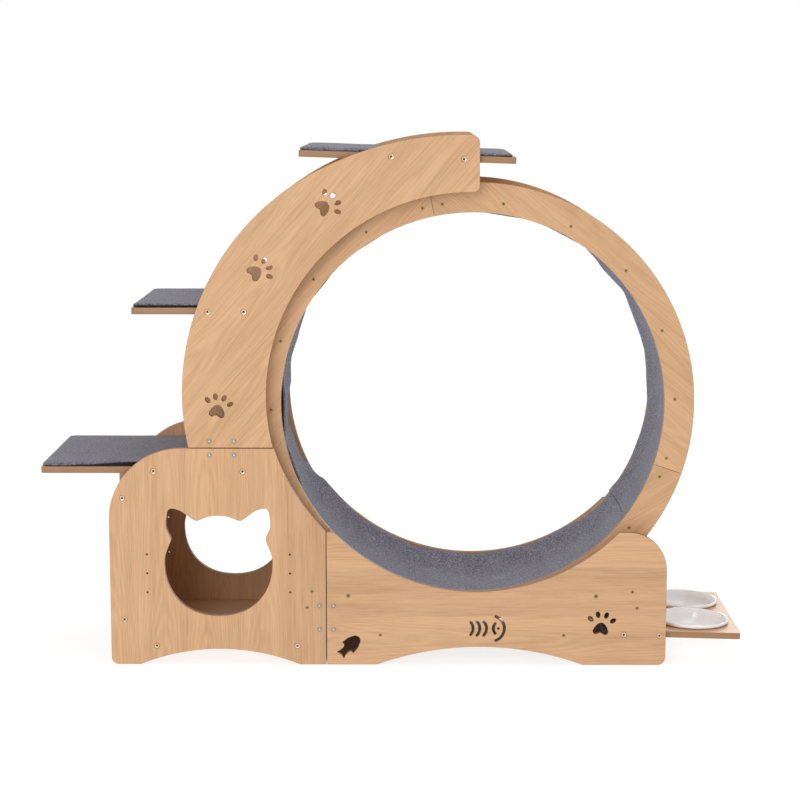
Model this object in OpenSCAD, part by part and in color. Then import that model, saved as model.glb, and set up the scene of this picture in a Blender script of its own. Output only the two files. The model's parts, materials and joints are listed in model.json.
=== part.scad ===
// Cat exercise wheel: a carpeted running wheel on rollers, held between two upright frames
// that also carry a sleeping house, three padded shelves and a feeding shelf.
// X runs to the right along the frames, Y from the front frame to the back one, Z up from the floor.

/* [Boards] */
// Thickness of every panel, shelf, wall and floor board
board_t = 15; // [12:0.5:18]
// Depth of the stand over its front and back panels
stand_depth = 434; // [410:2:470]
// Gap between panels that meet edge to edge
seam_gap = 2; // [1:0.5:3]

/* [House panel] */
// Width of a house panel
house_w = 510; // [495:5:540]
// Height of a house panel
house_h = 519.5; // [510:0.5:530]
// Radius of the outer top corner
house_corner_r = 171; // [140:1:180]
// Radius of the outer foot corner
house_foot_r = 17; // [5:1:20]
// Radius of the edge that follows the wheel
house_arc_r = 510.7; // [505:0.1:515]
// Place of that edge's centre beyond the wheel's axis
house_arc_x = 21.8; // [18:0.1:25]
// Height of that edge's centre above the wheel's axis
house_arc_z = 58.9; // [55:0.1:62]
// Height of the arch between the feet
house_arch_h = 37.5; // [25:0.5:40]
// Radius of the arch between the feet
house_arch_r = 495; // [450:5:540]
// Middle of the arch between the feet, from the outer edge
house_arch_x = 258; // [250:1:265]

/* [Cat-head doorway] */
// Radius of the face
face_r = 129.5; // [115:0.5:135]
// Middle of the face from the outer edge of the house
face_x = 256.5; // [250:0.5:265]
// Height of the middle of the face
face_z = 247.7; // [240:0.1:260]
// Rounding of the doorway's corners
face_round = 9; // [5:0.5:12]
// Diameter of the small air holes
vent_d = 5; // [4:0.5:8]
// Height between two air holes
vent_pitch = 45.7; // [40:0.1:50]
// Distance of an air hole from the middle of the face
vent_x = 168.5; // [160:0.5:175]
// Height of the middle air hole
vent_z = 220.9; // [210:0.1:230]

/* [Base panel] */
// Width of a base panel
base_w = 802; // [790:1:830]
// Height of the shoulder beyond the wheel
base_h = 320; // [310:1:330]
// Radius of the shoulder's corner
base_corner_r = 91; // [70:1:100]
// Radius of the outer foot corner
base_foot_r = 20; // [8:1:30]
// Radius of the edge that follows the wheel
base_arc_r = 466.5; // [455:0.5:475]
// Place of that edge's centre beyond the wheel's axis
base_arc_x = 9; // [4:0.5:14]
// Height of that edge's centre above the wheel's axis
base_arc_z = 27; // [20:0.5:32]
// Height of the arch between the feet
base_arch_h = 43.5; // [30:0.5:50]
// Radius of the arch between the feet
base_arch_r = 705; // [650:5:760]
// Middle of the arch between the feet, from the seam
base_arch_x = 363; // [350:1:375]

/* [Arch panel] */
// Radius of the outer edge
arch_outer_r = 585.5; // [580:0.5:590]
// Place of the outer edge's centre before the wheel's axis
arch_outer_x = 92; // [88:0.5:96]
// Height of the outer edge's centre above the wheel's axis
arch_outer_z = 26.6; // [22:0.1:30]
// Radius of the flatter crown
crown_r = 734.5; // [680:0.5:790]
// Direction in which the crown begins, from the outer edge's centre
crown_turn = 117.5; // [112:0.5:122]
// Width of the ring that stays in sight inside the arch
arch_reveal = 26.4; // [20:0.1:30]
// Place of the inner edge's centre before the wheel's axis
arch_inner_x = 5.5; // [3:0.5:8]
// Height of the inner edge's centre above the wheel's axis
arch_inner_z = 22.7; // [20:0.1:25]
// Place of the free end beyond the wheel's axis
arch_end = 12.5; // [0:0.5:30]
// Radius of the free end's upper corner
arch_tip_r = 18; // [10:1:25]
// Radius of the free end's lower corner
arch_heel_r = 13; // [8:1:20]

/* [Wheel] */
// Distance of the wheel's axis from the seam between house and base
wheel_in = 344; // [338:0.5:350]
// Height of the wheel's axis
wheel_z = 617; // [614:0.5:625]
// Inner radius of a side ring
ring_inner_r = 450; // [446:1:454]
// Width of a side ring's face
ring_w = 70; // [66:0.5:72]
// Thickness of a side ring
ring_t = 15; // [12:0.5:18]
// Clearance between a side ring and the panel beside it
ring_side_gap = 31; // [28:0.5:36]
// Gap at the butt joints of a ring's three segments
ring_joint_gap = 0.5; // [0.3:0.1:1]
// Distance of the two screws beside a segment joint from the joint
joint_screw_in = 23.4; // [18:0.1:28]
// Turn of the wheel at rest, from the X axis to the middle of the first segment
wheel_turn = 41.6; // [0:0.1:60]
// Number of slats in the track, six for each ring segment
slat_count = 18; // [12:6:18]
// Thickness of a slat
slat_t = 15; // [12:0.5:18]
// Height of the lip that the rings make beside the track
track_lip = 17; // [14:0.5:20]
// Gap between neighbouring slats
slat_gap = 0.5; // [0.3:0.1:1]
// Thickness of the running mat
mat_t = 6; // [3:0.5:8]
// Distance of the mat from each ring
mat_side_gap = 6; // [2:0.5:10]
// Gap between the mat and the slats it lies on
mat_seat_gap = 0.3; // [0.1:0.1:0.6]
// Gap where the two ends of the mat meet
mat_end_gap = 2; // [1:0.5:4]

/* [Rollers] */
// Tread radius of a roller
roller_r = 16; // [15:0.5:22]
// Height of a roller's flanges
flange_h = 6; // [4:0.5:7]
// Thickness of a roller's flange
flange_t = 4; // [3:0.5:5]
// Clearance between the tread and the ring
tread_gap = 0.3; // [0.2:0.1:0.5]
// Clearance between a flange and the ring's face
flange_gap = 0.6; // [0.4:0.1:1]
// Half the distance between the two roller axles
axle_spread = 292; // [286:0.5:300]
// Diameter of an axle bolt
axle_d = 6; // [5:0.5:8]
// Outer diameter of the bush that a roller turns on
bush_d = 11; // [10:0.5:14]
// Radial running clearance between roller and bush
bush_gap = 0.05; // [0.02:0.01:0.08]
// Diameter of the spacer between panel and roller
spacer_d = 16; // [14:0.5:20]
// Across flats of an axle nut
axle_nut_w = 10; // [9:0.5:13]
// Thickness of an axle nut
axle_nut_t = 5; // [4:0.5:7]

/* [Shelves] */
// How far the lower shelf stands out beyond the house
lower_shelf_out = 159.5; // [140:0.5:180]
// Length of the lower shelf
lower_shelf_l = 505; // [480:1:510]
// Height of the lower shelf's top face
lower_shelf_z = 473; // [465:0.5:480]
// Length of the middle shelf
mid_shelf_l = 309; // [290:1:312]
// Distance of the middle shelf's free end from the wheel's axis
mid_shelf_x = 794.5; // [788:0.5:800]
// Height of the middle shelf's top face
mid_shelf_z = 847.5; // [840:0.5:855]
// Length of the top shelf
top_shelf_l = 500; // [460:1:520]
// Place of the top shelf's middle before the wheel's axis
top_shelf_x = 153; // [140:0.5:165]
// Height of the top shelf's top face at its middle
top_shelf_z = 1202.5; // [1195:0.5:1210]
// Slope of the top shelf, down to the right
top_shelf_tilt = 1.9; // [0:0.1:3]
// Rounding of the shelf corners
shelf_corner_r = 8; // [4:1:12]
// Thickness of a shelf pad
pad_t = 8; // [6:0.5:12]
// Rise of a pad's middle over its edge
pad_crown = 1.5; // [0.5:0.1:3]
// Distance of a pad's edge from the end of its shelf
pad_inset = 6; // [3:0.5:12]
// Clearance between a pad's sides and the panels
pad_side_gap = 3; // [1:0.5:6]
// Radius of a pad's corners seen from above
pad_corner_r = 14; // [8:1:20]

/* [Feeding shelf] */
// How far the feeding shelf stands out beyond the base
bowl_shelf_out = 179.5; // [165:0.5:190]
// Length of the feeding shelf
bowl_shelf_l = 325; // [310:1:335]
// Height of the feeding shelf's top face at its screws
bowl_shelf_z = 80.2; // [76:0.2:90]
// Slope of the feeding shelf, down to the right
bowl_shelf_tilt = 1.5; // [0:0.1:2.5]
// Radius of a bowl's rim
bowl_r = 89; // [85:0.5:92]
// Radius of the round cut-out that a bowl sits in
bowl_seat_r = 80; // [76:0.5:82]
// Height of a bowl's rim over the shelf
bowl_rise = 10; // [6:0.5:16]
// Depth of a bowl below the shelf's top face
bowl_drop = 32; // [26:0.5:36]
// Radius of a bowl's foot
bowl_foot_r = 42; // [35:0.5:50]
// Thickness of a bowl's wall
bowl_t = 3; // [2:0.5:4]
// Clearance between a bowl and its cut-out
bowl_gap = 0.4; // [0.3:0.1:1]
// Distance between the middles of the two bowls
bowl_pitch = 187; // [186:1:194]
// Distance of the bowls' middles from the shelf's free end
bowl_in = 103; // [98:0.5:112]

/* [Inner boards] */
// Height of the house floor's middle
floor_z = 45.3; // [45:0.1:60]
// Distance of the house floor's right end from the seam
floor_end = 15; // [8:0.5:30]
// Distance of the left wall's outer face from the outer edge of the house
wall_in = 25; // [20:0.5:40]
// Distance of the left stretcher's middle from the wheel's axis, along the frame
stretcher_x = 383.5; // [380:0.5:386]
// Distance of the right stretcher's middle from the outer edge of the base
stretcher_in = 74.5; // [70:0.5:80]
// Height of the stretchers' middle
stretcher_z = 158; // [155:0.5:162]
// Width of a stretcher
stretcher_w = 88; // [80:1:90]
// Lean of the stretchers away from upright
stretcher_lean = 16.5; // [10:0.5:20]
// Distance between a stretcher's two screws
stretcher_pitch = 40.5; // [36:0.5:44]
// Side of a square cross rail
rail_w = 30; // [25:1:32]
// Distance of the left cross rail from the wheel's axis, along the frame
rail_x = 217; // [212:0.5:222]
// Distance of the right cross rail from the outer edge of the base
rail_in = 241; // [236:0.5:246]
// Height of the cross rails' middle
rail_z = 72; // [70:0.5:80]

/* [Fasteners] */
// Distance of the lower shelf's last screw from the shelf's inner end
lower_screw_in = 30; // [20:1:40]
// Distance between the lower shelf's two screws
lower_screw_pitch = 209; // [180:1:230]
// Distance of the middle shelf's last screw from the shelf's inner end
mid_screw_in = 46; // [40:1:60]
// Distance between the two screws of the middle shelf, and of the feeding shelf
shelf_screw_pitch = 84; // [70:1:95]
// Middle of the top shelf's two screws from the middle of the shelf
top_screw_x = 46; // [30:1:55]
// Distance between the top shelf's two screws
top_screw_pitch = 167; // [140:1:190]
// Distance of the feeding shelf's last screw from the base's outer edge
bowl_screw_in = 15; // [12:1:30]
// Distance of the house floor's last screw from the floor's inner end
floor_screw_in = 54; // [40:1:70]
// Distance between the house floor's two screws
floor_screw_pitch = 333; // [300:1:350]
// Distance of the left wall's screws from its ends
wall_screw_in = 56.5; // [40:0.5:70]
// Head diameter of the long board screws
screw_head_d = 12; // [10:0.5:13]
// Head height of the long board screws
screw_head_h = 4; // [3:0.5:5]
// Shank diameter of the long board screws
screw_d = 6.4; // [5:0.1:7]
// Length of the long board screws
screw_l = 50; // [40:1:60]
// Slot width of the cross recess in a screw head
recess_w = 1.4; // [1:0.1:2]
// Head diameter of the small wood screws
small_head_d = 8; // [7:0.5:9]
// Head height of the small wood screws
small_head_h = 2.6; // [2:0.1:3]
// Shank diameter of the small wood screws
small_d = 4; // [3.5:0.1:4.5]
// Length of the small wood screws
small_l = 40; // [35:1:45]
// Clearance round a shank in a panel
screw_gap = 0.2; // [0.1:0.05:0.4]
// Long side of a splice plate's hole pattern
splice_long = 57.5; // [52:0.5:60]
// Short side of a splice plate's hole pattern
splice_short = 33; // [28:0.5:36]
// Margin of a splice plate round its holes
splice_margin = 10; // [8:0.5:12]
// Thickness of a splice plate
splice_t = 2.5; // [2:0.5:4]
// Head diameter of a splice bolt
splice_head_d = 10.5; // [9:0.5:12]
// Head height of a splice bolt
splice_head_h = 2.5; // [2:0.1:3]
// Shank diameter of a splice bolt
splice_d = 5; // [4:0.5:6]
// Across flats of a splice nut
splice_nut_w = 8; // [7:0.5:10]
// Thickness of a splice nut
splice_nut_t = 4; // [3:0.5:5]
// Middle of the arch splice from the outer edge of the house
arch_splice_x = 267.3; // [260:0.1:275]
// Height of the middle of the base splice
base_splice_z = 114.5; // [110:0.5:120]

/* [Ornaments] */
// Radius of the circle that a paw print's toes stand on
paw_r = 34; // [30:0.5:37]
// Length of the fish
fish_l = 63; // [56:1:66]
// Place of the fish from the seam
fish_x = 59.5; // [56:0.5:66]
// Height of the fish
fish_z = 50; // [48:0.5:54]
// Width of the fish bone's slots
bone_w = 6.8; // [4:0.1:8]
// Height of the fish bone's middle
bone_z = 88.5; // [84:0.5:94]
// Place of the first rib from the seam
bone_x = 346.5; // [340:0.5:352]
// Distance between two ribs
bone_pitch = 16; // [14:0.5:18]
// Bend radius of the ribs
rib_r = 24; // [20:0.5:28]
// Bend radius of the gill
gill_r = 18.5; // [15:0.5:22]
// Bend radius of the head
head_r = 31; // [26:0.5:34]
// Diameter of the eye
eye_d = 6; // [4:0.5:8]

/* [Hidden] */
$fn = 96;
segment_count = 3;
// Length that a cut runs past the face it opens
overrun = 2 * board_t / 15;
// Sides of a smoothed outline's circle
smooth_fn = 64;
// Points of a paw print's toe
ellipse_steps = 20;

// Places worked out from the sizes above
overall_w = lower_shelf_out + house_w + base_w + bowl_shelf_out;
house_x = -overall_w / 2 + lower_shelf_out;
seam_x = house_x + house_w;
base_end_x = seam_x + base_w;
wheel_x = seam_x + wheel_in;
front_y = -stand_depth / 2;
inner_depth = stand_depth - 2 * board_t;
ring_outer_r = ring_inner_r + ring_w;
ring_y = front_y + board_t + ring_side_gap;
track_r = ring_inner_r + track_lip;
track_depth = -2 * (ring_y + ring_t);
ring_screw_r = track_r + slat_t / 2;
slat_step = 360 / slat_count;
slats_per_segment = slat_count / segment_count;
joint_screw_turn = asin(joint_screw_in / ring_screw_r);
arch_z = house_h + seam_gap;
arch_end_x = wheel_x + arch_end;
arch_inner_r = ring_inner_r + arch_reveal;

// Roller geometry: the axles lie where the treads meet the rims of the rings
axle_reach = ring_outer_r + roller_r + tread_gap;
axle_z = wheel_z - sqrt(pow(axle_reach, 2) - pow(axle_spread, 2));
roller_w = ring_t + 2 * flange_gap + 2 * flange_t;
roller_y = ring_y + ring_t / 2;
bush_end_gap = flange_gap / 2;
bush_l = roller_w + 2 * bush_end_gap;
spacer_l = roller_y - bush_l / 2 - front_y - board_t;
axle_l = board_t + spacer_l + bush_l + axle_nut_t;
axle_head_d = axle_d + 4 * axle_d / 6;
axle_head_h = axle_d / 2;

// Places of the long screws along X
lower_screw_xs = [for (k = [1, 0]) -overall_w / 2 + lower_shelf_l - lower_screw_in - k * lower_screw_pitch];
mid_screw_xs = [for (k = [1, 0]) wheel_x - mid_shelf_x + mid_shelf_l - mid_screw_in - k * shelf_screw_pitch];
floor_screw_xs = [for (k = [1, 0]) seam_x - floor_end - floor_screw_in - k * floor_screw_pitch];
// Paw prints on the arch: place from the wheel's axis as shares of the outer radius
arch_paw_shares = [[-1.017, -0.015], [-0.86, 0.537], [-0.59, 0.793]];
arch_paw_turns = [79, 35.5, 34];
// Paw print on the base: place from its outer edge and the floor as shares of its height
base_paw_shares = [-0.48, 0.278];
base_paw_turn = 84.5;

// Half outlines as shares, hand-picked: across, then along the figure's axis
head_shares = [
    [0, 0.862], [0.13, 0.854], [0.24, 0.825], [0.33, 0.782], [0.385, 0.764], [0.44, 0.777],
    [0.53, 0.84], [0.60, 0.898], [0.68, 0.952], [0.78, 0.988], [0.87, 0.996], [0.92, 0.945],
    [0.94, 0.835], [0.952, 0.71], [0.94, 0.61], [0.885, 0.5], [0.853, 0.43], [0.876, 0.36],
    [0.92, 0.26], [0.957, 0.16], [0.978, 0.06]
];
// The jaw under the face's middle: its half width, and the power of its rounding
jaw_wide_share = 0.983;
jaw_power = 2.2;
jaw_steps = 14;
corner_share = 0.25;
pad_shares = [
    [0, 0.44], [0.24, 0.33], [0.42, 0.10], [0.54, -0.15], [0.52, -0.36], [0.33, -0.46],
    [0.14, -0.36], [0, -0.30]
];
toe_turns = [-51.5, -17.2, 17.2, 51.5];
toe_wide_share = 0.16;
toe_long_share = 0.235;
fish_shares = [
    [0, 0.39], [0.10, 0.36], [0.18, 0.28], [0.27, 0.06], [0.30, -0.20], [0.165, -0.22],
    [0.13, -0.33], [0.145, -0.50], [0.20, -0.61], [0, -0.56]
];
// Edge profile of a shelf pad: inset of each level as a share of the pad's thickness, and its height
pad_levels = [
    [0.35, 0], [0.10, 0.15], [0, 0.42], [0.06, 0.70], [0.22, 0.88], [0.55, 1]
];
pad_crown_shares = [0.12, 0.3, 0.6];
// Half the sweep of each of the fish bone's arcs
rib_turns = [39, 44, 44];
gill_turn = 40;
head_turn = 70;
slot_steps = 8;
pad_corner_steps = 6;
bowl_steps = 10;

// Helpers
// A flat figure in X and Z, as a board whose front face lies at y
module upright(y, t = board_t) {
    translate([0, y + t, 0]) rotate([90, 0, 0]) linear_extrude(t) children();
}

module along_y(x, y, z) {
    translate([x, y, z]) rotate([-90, 0, 0]) children();
}

module both_sides() {
    children();
    mirror([0, 1, 0]) children();
}

// The corner material outside a rounding whose centre is the origin, between two directions
module corner_waste(r, from_a, to_a) {
    reach = r + overrun;
    mid_a = (from_a + to_a) / 2;
    difference() {
        polygon([
            [0, 0],
            reach * [cos(from_a), sin(from_a)],
            2 * reach * [cos(mid_a), sin(mid_a)],
            reach * [cos(to_a), sin(to_a)]
        ]);
        circle(r = r);
    }
}

// Rounds the corners of a flat figure, inside and outside ones alike
module softened(r) {
    offset(r = -r, $fn = smooth_fn) offset(r = 2 * r, $fn = smooth_fn) {
        offset(r = -r, $fn = smooth_fn) children();
    }
}

function mirrored(half) = concat(half, [for (i = [len(half) - 1 : -1 : 0]) [-half[i][0], half[i][1]]]);

// A closed outline with each corner cut to a quarter of its sides
function cut_corners(p) = [
    for (i = [0 : len(p) - 1])
        let (step = corner_share * (p[(i + 1) % len(p)] - p[i]))
        each [p[i] + step, p[(i + 1) % len(p)] - step]
];

function jaw_points() = [
    for (i = [0 : jaw_steps])
        let (a = 90 * i / jaw_steps)
        [jaw_wide_share * pow(cos(a), 2 / jaw_power), -pow(sin(a), 2 / jaw_power)]
];

// Ornament figures
module cat_head() {
    softened(face_round) polygon(face_r * cut_corners(mirrored(concat(head_shares, jaw_points()))));
}

function ellipse_points(a, b) = [
    for (turn = [0 : 360 / ellipse_steps : 359]) [a * cos(turn), b * sin(turn)]
];

module paw_print() {
    softened(paw_r / 8) polygon(paw_r * mirrored(pad_shares));
    for (turn = toe_turns) {
        rotate(turn) translate([0, paw_r]) {
            polygon(ellipse_points(paw_r * toe_wide_share, paw_r * toe_long_share));
        }
    }
}

module fish() {
    softened(fish_l / 50) polygon(fish_l * mirrored(fish_shares));
}

// Points of an arc about c, from direction a0 to a1
function arc_points(c, r, a0, a1, steps) = [
    for (i = [0 : steps - 1])
        let (a = a0 + (a1 - a0) * i / steps)
        c + r * [cos(a), sin(a)]
];

// An arc slot with round ends, bulging to +X, whose outermost middle lies at the origin
module arc_slot(r, half) {
    w = bone_w / 2;
    translate([-r, 0]) polygon(concat(
        arc_points([0, 0], r + w, -half, half, 2 * slot_steps),
        arc_points(r * [cos(half), sin(half)], w, half, half + 180, slot_steps),
        arc_points([0, 0], r - w, half, -half, 2 * slot_steps),
        arc_points(r * [cos(half), -sin(half)], w, 180 - half, 360 - half, slot_steps)
    ));
}

module fish_bone() {
    for (i = [0 : 2]) {
        translate([i * bone_pitch, 0]) arc_slot(rib_r, rib_turns[i]);
    }
    translate([3 * bone_pitch, 0]) mirror([1, 0]) arc_slot(gill_r, gill_turn);
    translate([3 * bone_pitch + 2 * eye_d, 0]) circle(d = eye_d);
    translate([3 * bone_pitch + gill_r + head_r / 4, 0]) arc_slot(head_r, head_turn);
}

// The left wall stands between the floor and the lower shelf
wall_bottom = floor_z + board_t / 2;
wall_top = lower_shelf_z - board_t;

// Screw places of a house panel: [x, z]
house_screws = concat(
    [for (x = lower_screw_xs) [x, lower_shelf_z - board_t / 2]],
    [for (x = floor_screw_xs) [x, floor_z]],
    [for (z = [wall_bottom + wall_screw_in, wall_top - wall_screw_in]) [house_x + wall_in + board_t / 2, z]]
);

// A place on a sloping board's middle layer, a distance x along its top face from the pivot
function on_slope(pivot, x, tilt) = [
    pivot[0] + x * cos(tilt) - board_t / 2 * sin(tilt),
    pivot[1] - x * sin(tilt) - board_t / 2 * cos(tilt)
];

top_pivot = [wheel_x - top_shelf_x, top_shelf_z];
arch_screws = concat(
    [for (x = mid_screw_xs) [x, mid_shelf_z - board_t / 2]],
    [for (k = [-0.5, 0.5]) on_slope(top_pivot, top_screw_x + k * top_screw_pitch, top_shelf_tilt)]
);

// The feeding shelf slopes about the point on its top face midway between its screws
bowl_pivot = [base_end_x - bowl_screw_in - shelf_screw_pitch / 2, bowl_shelf_z];
base_screws = [for (k = [-0.5, 0.5]) on_slope(bowl_pivot, k * shelf_screw_pitch, bowl_shelf_tilt)];
bowl_shelf_end = base_end_x + bowl_shelf_out - bowl_pivot[0];

// Side -1 lies left of the wheel's axis, side 1 right of it
function stretcher_at(side) = side < 0 ? wheel_x - stretcher_x : base_end_x - stretcher_in;
function rail_at(side) = side < 0 ? wheel_x - rail_x : base_end_x - rail_in;
function stretcher_screws(side) = [for (k = [-1, 1]) [
    stretcher_at(side) - side * k * stretcher_pitch / 2 * sin(stretcher_lean),
    stretcher_z + k * stretcher_pitch / 2 * cos(stretcher_lean)
]];
rail_screws = [for (side = [-1, 1]) [rail_at(side), rail_z]];
axle_places = [for (side = [-1, 1]) [wheel_x + side * axle_spread, axle_z]];

// Splice holes: the arch splice lies across the top seam, the base splice stands across the side seam
function splice_holes(c, dx, dz) = [for (sx = [-0.5, 0.5]) for (sz = [-0.5, 0.5]) c + [sx * dx, sz * dz]];
arch_splice = [house_x + arch_splice_x, house_h + seam_gap / 2];
base_splice = [seam_x, base_splice_z];
arch_splice_holes = splice_holes(arch_splice, splice_long, splice_short);
base_splice_holes = splice_holes(base_splice, splice_short, splice_long);

module house_outline() {
    difference() {
        translate([house_x, 0]) square([house_w - seam_gap / 2, house_h]);
        translate([house_x + house_corner_r, house_h - house_corner_r]) {
            corner_waste(house_corner_r, 90, 180);
        }
        translate([house_x + house_foot_r, house_foot_r]) corner_waste(house_foot_r, 180, 270);
        translate([wheel_x + house_arc_x, wheel_z + house_arc_z]) circle(r = house_arc_r);
        translate([house_x + house_arch_x, house_arch_h - house_arch_r]) circle(r = house_arch_r);
    }
}

module base_outline() {
    difference() {
        translate([seam_x + seam_gap / 2, 0]) square([base_w - seam_gap / 2, base_h]);
        translate([base_end_x - base_corner_r, base_h - base_corner_r]) corner_waste(base_corner_r, 0, 90);
        translate([base_end_x - base_foot_r, base_foot_r]) corner_waste(base_foot_r, -90, 0);
        translate([wheel_x + base_arc_x, wheel_z + base_arc_z]) circle(r = base_arc_r);
        translate([seam_x + base_arch_x, base_arch_h - base_arch_r]) circle(r = base_arch_r);
    }
}

module arch_outline() {
    outer_c = [wheel_x - arch_outer_x, wheel_z + arch_outer_z];
    crown_dir = [cos(crown_turn), sin(crown_turn)];
    crown_c = outer_c - (crown_r - arch_outer_r) * crown_dir;
    inner_c = [wheel_x - arch_inner_x, wheel_z + arch_inner_z];
    tip_x = arch_end_x - arch_tip_r;
    tip_z = crown_c[1] + sqrt(pow(crown_r - arch_tip_r, 2) - pow(tip_x - crown_c[0], 2));
    heel_x = arch_end_x - arch_heel_r;
    heel_z = inner_c[1] + sqrt(pow(arch_inner_r + arch_heel_r, 2) - pow(heel_x - inner_c[0], 2));
    difference() {
        intersection() {
            union() {
                translate(outer_c) circle(r = arch_outer_r);
                intersection() {
                    translate(crown_c) circle(r = crown_r);
                    translate(crown_c) polygon([[0, 0], 2 * crown_r * [1, 1], 2 * crown_r * crown_dir]);
                }
            }
            translate([arch_end_x - 2 * arch_outer_r, arch_z]) square(2 * arch_outer_r);
        }
        translate(inner_c) circle(r = arch_inner_r);
        translate([tip_x, tip_z]) corner_waste(arch_tip_r, 0, atan2(tip_z - crown_c[1], tip_x - crown_c[0]));
        translate([heel_x, heel_z]) {
            corner_waste(arch_heel_r, atan2(inner_c[1] - heel_z, inner_c[0] - heel_x), 0);
        }
    }
}

module holes(places, d) {
    for (p = places) {
        translate(p) circle(d = d);
    }
}

// Fasteners, each with its head's face at the origin and its shank along +Z
module cross_recess(d, depth) {
    for (turn = [0, 90]) {
        rotate(turn) translate([-d / 2, -recess_w / 2, -depth / 4]) cube([d, recess_w, depth]);
    }
}

module countersunk_screw(head_d, head_h, d, l) {
    difference() {
        union() {
            cylinder(d1 = head_d, d2 = d, h = head_h);
            translate([0, 0, head_h]) cylinder(d = d, h = l - head_h);
        }
        cross_recess(head_d * 0.55, head_h / 2);
    }
}

// The matching hole through a board of thickness t, with a clearance round the shank
module screw_hole(head_d, head_h, d, t) {
    r = d / 2 + screw_gap;
    sink_h = head_h * (head_d / 2 - r) / (head_d / 2 - d / 2);
    rotate_extrude() polygon([
        [0, -overrun], [head_d / 2, -overrun], [head_d / 2, 0],
        [r, sink_h], [r, t + overrun], [0, t + overrun]
    ]);
}

module screw_holes(places, head_d, head_h, d) {
    for (p = places) {
        along_y(p[0], front_y, p[1]) screw_hole(head_d, head_h, d, board_t);
    }
}

module board_screw() {
    countersunk_screw(screw_head_d, screw_head_h, screw_d, screw_l);
}

module small_screw() {
    countersunk_screw(small_head_d, small_head_h, small_d, small_l);
}

// Front frame panels; the back ones are their mirror images
module house_panel() {
    color("burlywood") difference() {
        upright(front_y) difference() {
            house_outline();
            translate([house_x + face_x, face_z]) cat_head();
            for (side = [-1, 1]) {
                translate([house_x + face_x + side * vent_x, vent_z]) {
                    holes([for (k = [-1 : 1]) [0, k * vent_pitch]], vent_d);
                }
            }
            holes([for (p = arch_splice_holes) if (p[1] < house_h) p], splice_d + 2 * screw_gap);
            holes([for (p = base_splice_holes) if (p[0] < seam_x) p], splice_d + 2 * screw_gap);
        }
        screw_holes(house_screws, screw_head_d, screw_head_h, screw_d);
        screw_holes(stretcher_screws(-1), small_head_d, small_head_h, small_d);
    }
}

module base_panel() {
    color("burlywood") difference() {
        upright(front_y) difference() {
            base_outline();
            translate([seam_x + fish_x, fish_z]) rotate(-45) fish();
            translate([seam_x + bone_x, bone_z]) fish_bone();
            translate([base_end_x, 0] + base_h * base_paw_shares) rotate(base_paw_turn - 90) paw_print();
            holes([for (p = base_splice_holes) if (p[0] > seam_x) p], splice_d + 2 * screw_gap);
        }
        screw_holes(base_screws, screw_head_d, screw_head_h, screw_d);
        screw_holes(concat(stretcher_screws(1), rail_screws), small_head_d, small_head_h, small_d);
        screw_holes(axle_places, axle_head_d, axle_head_h, axle_d);
    }
}

module arch_panel() {
    color("burlywood") difference() {
        upright(front_y) difference() {
            arch_outline();
            for (i = [0 : len(arch_paw_shares) - 1]) {
                translate([wheel_x, wheel_z] + arch_outer_r * arch_paw_shares[i]) {
                    rotate(arch_paw_turns[i] - 90) paw_print();
                }
            }
            holes([for (p = arch_splice_holes) if (p[1] > house_h) p], splice_d + 2 * screw_gap);
        }
        screw_holes(arch_screws, screw_head_d, screw_head_h, screw_d);
    }
}

// Boards that run from the front frame to the back one
// Bores for the long screws, at both ends of a board, at places [x, z]
module end_bores(places, d, l) {
    both_sides() {
        for (p = places) {
            along_y(p[0], front_y + board_t - overrun, p[1]) cylinder(d = d, h = l - board_t + overrun);
        }
    }
}

// A flat board whose upper face lies at z = 0, from x = 0 to l, with rounded corners at the ends asked for
module shelf_board(l, round_left = true, round_right = true) {
    half = inner_depth / 2;
    translate([0, 0, -board_t]) linear_extrude(board_t) difference() {
        translate([0, -half]) square([l, 2 * half]);
        for (side = [-1, 1]) {
            if (round_left) {
                translate([shelf_corner_r, side * (half - shelf_corner_r)]) {
                    corner_waste(shelf_corner_r, 180 - side * 90, 180);
                }
            }
            if (round_right) {
                translate([l - shelf_corner_r, side * (half - shelf_corner_r)]) {
                    corner_waste(shelf_corner_r, side * 90, 0);
                }
            }
        }
    }
}

module lower_shelf() {
    color("tan") difference() {
        translate([-overall_w / 2, 0, lower_shelf_z]) shelf_board(lower_shelf_l, true, false);
        end_bores([house_screws[0], house_screws[1]], screw_d, screw_l);
    }
}

module mid_shelf() {
    color("tan") difference() {
        translate([wheel_x - mid_shelf_x, 0, mid_shelf_z]) shelf_board(mid_shelf_l, true, false);
        end_bores([arch_screws[0], arch_screws[1]], screw_d, screw_l);
    }
}

// Moves a child from the sloping top shelf's own frame, whose origin is the middle of its top face
module on_top_shelf() {
    translate([top_pivot[0], 0, top_pivot[1]]) rotate([0, top_shelf_tilt, 0]) children();
}

module top_shelf() {
    color("tan") difference() {
        on_top_shelf() translate([-top_shelf_l / 2, 0, 0]) shelf_board(top_shelf_l);
        end_bores([arch_screws[2], arch_screws[3]], screw_d, screw_l);
    }
}

// The feeding shelf's own frame: its origin is on the top face, midway between its screws
module on_bowl_shelf() {
    translate([bowl_pivot[0], 0, bowl_pivot[1]]) rotate([0, bowl_shelf_tilt, 0]) children();
}

module bowl_shelf() {
    color("tan") difference() {
        on_bowl_shelf() difference() {
            translate([bowl_shelf_end - bowl_shelf_l, 0, 0]) shelf_board(bowl_shelf_l, false, true);
            for (side = [-1, 1]) {
                translate([bowl_shelf_end - bowl_in, side * bowl_pitch / 2, -board_t - overrun]) {
                    cylinder(r = bowl_seat_r, h = board_t + 2 * overrun);
                }
            }
        }
        end_bores(base_screws, screw_d, screw_l);
    }
}

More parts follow.
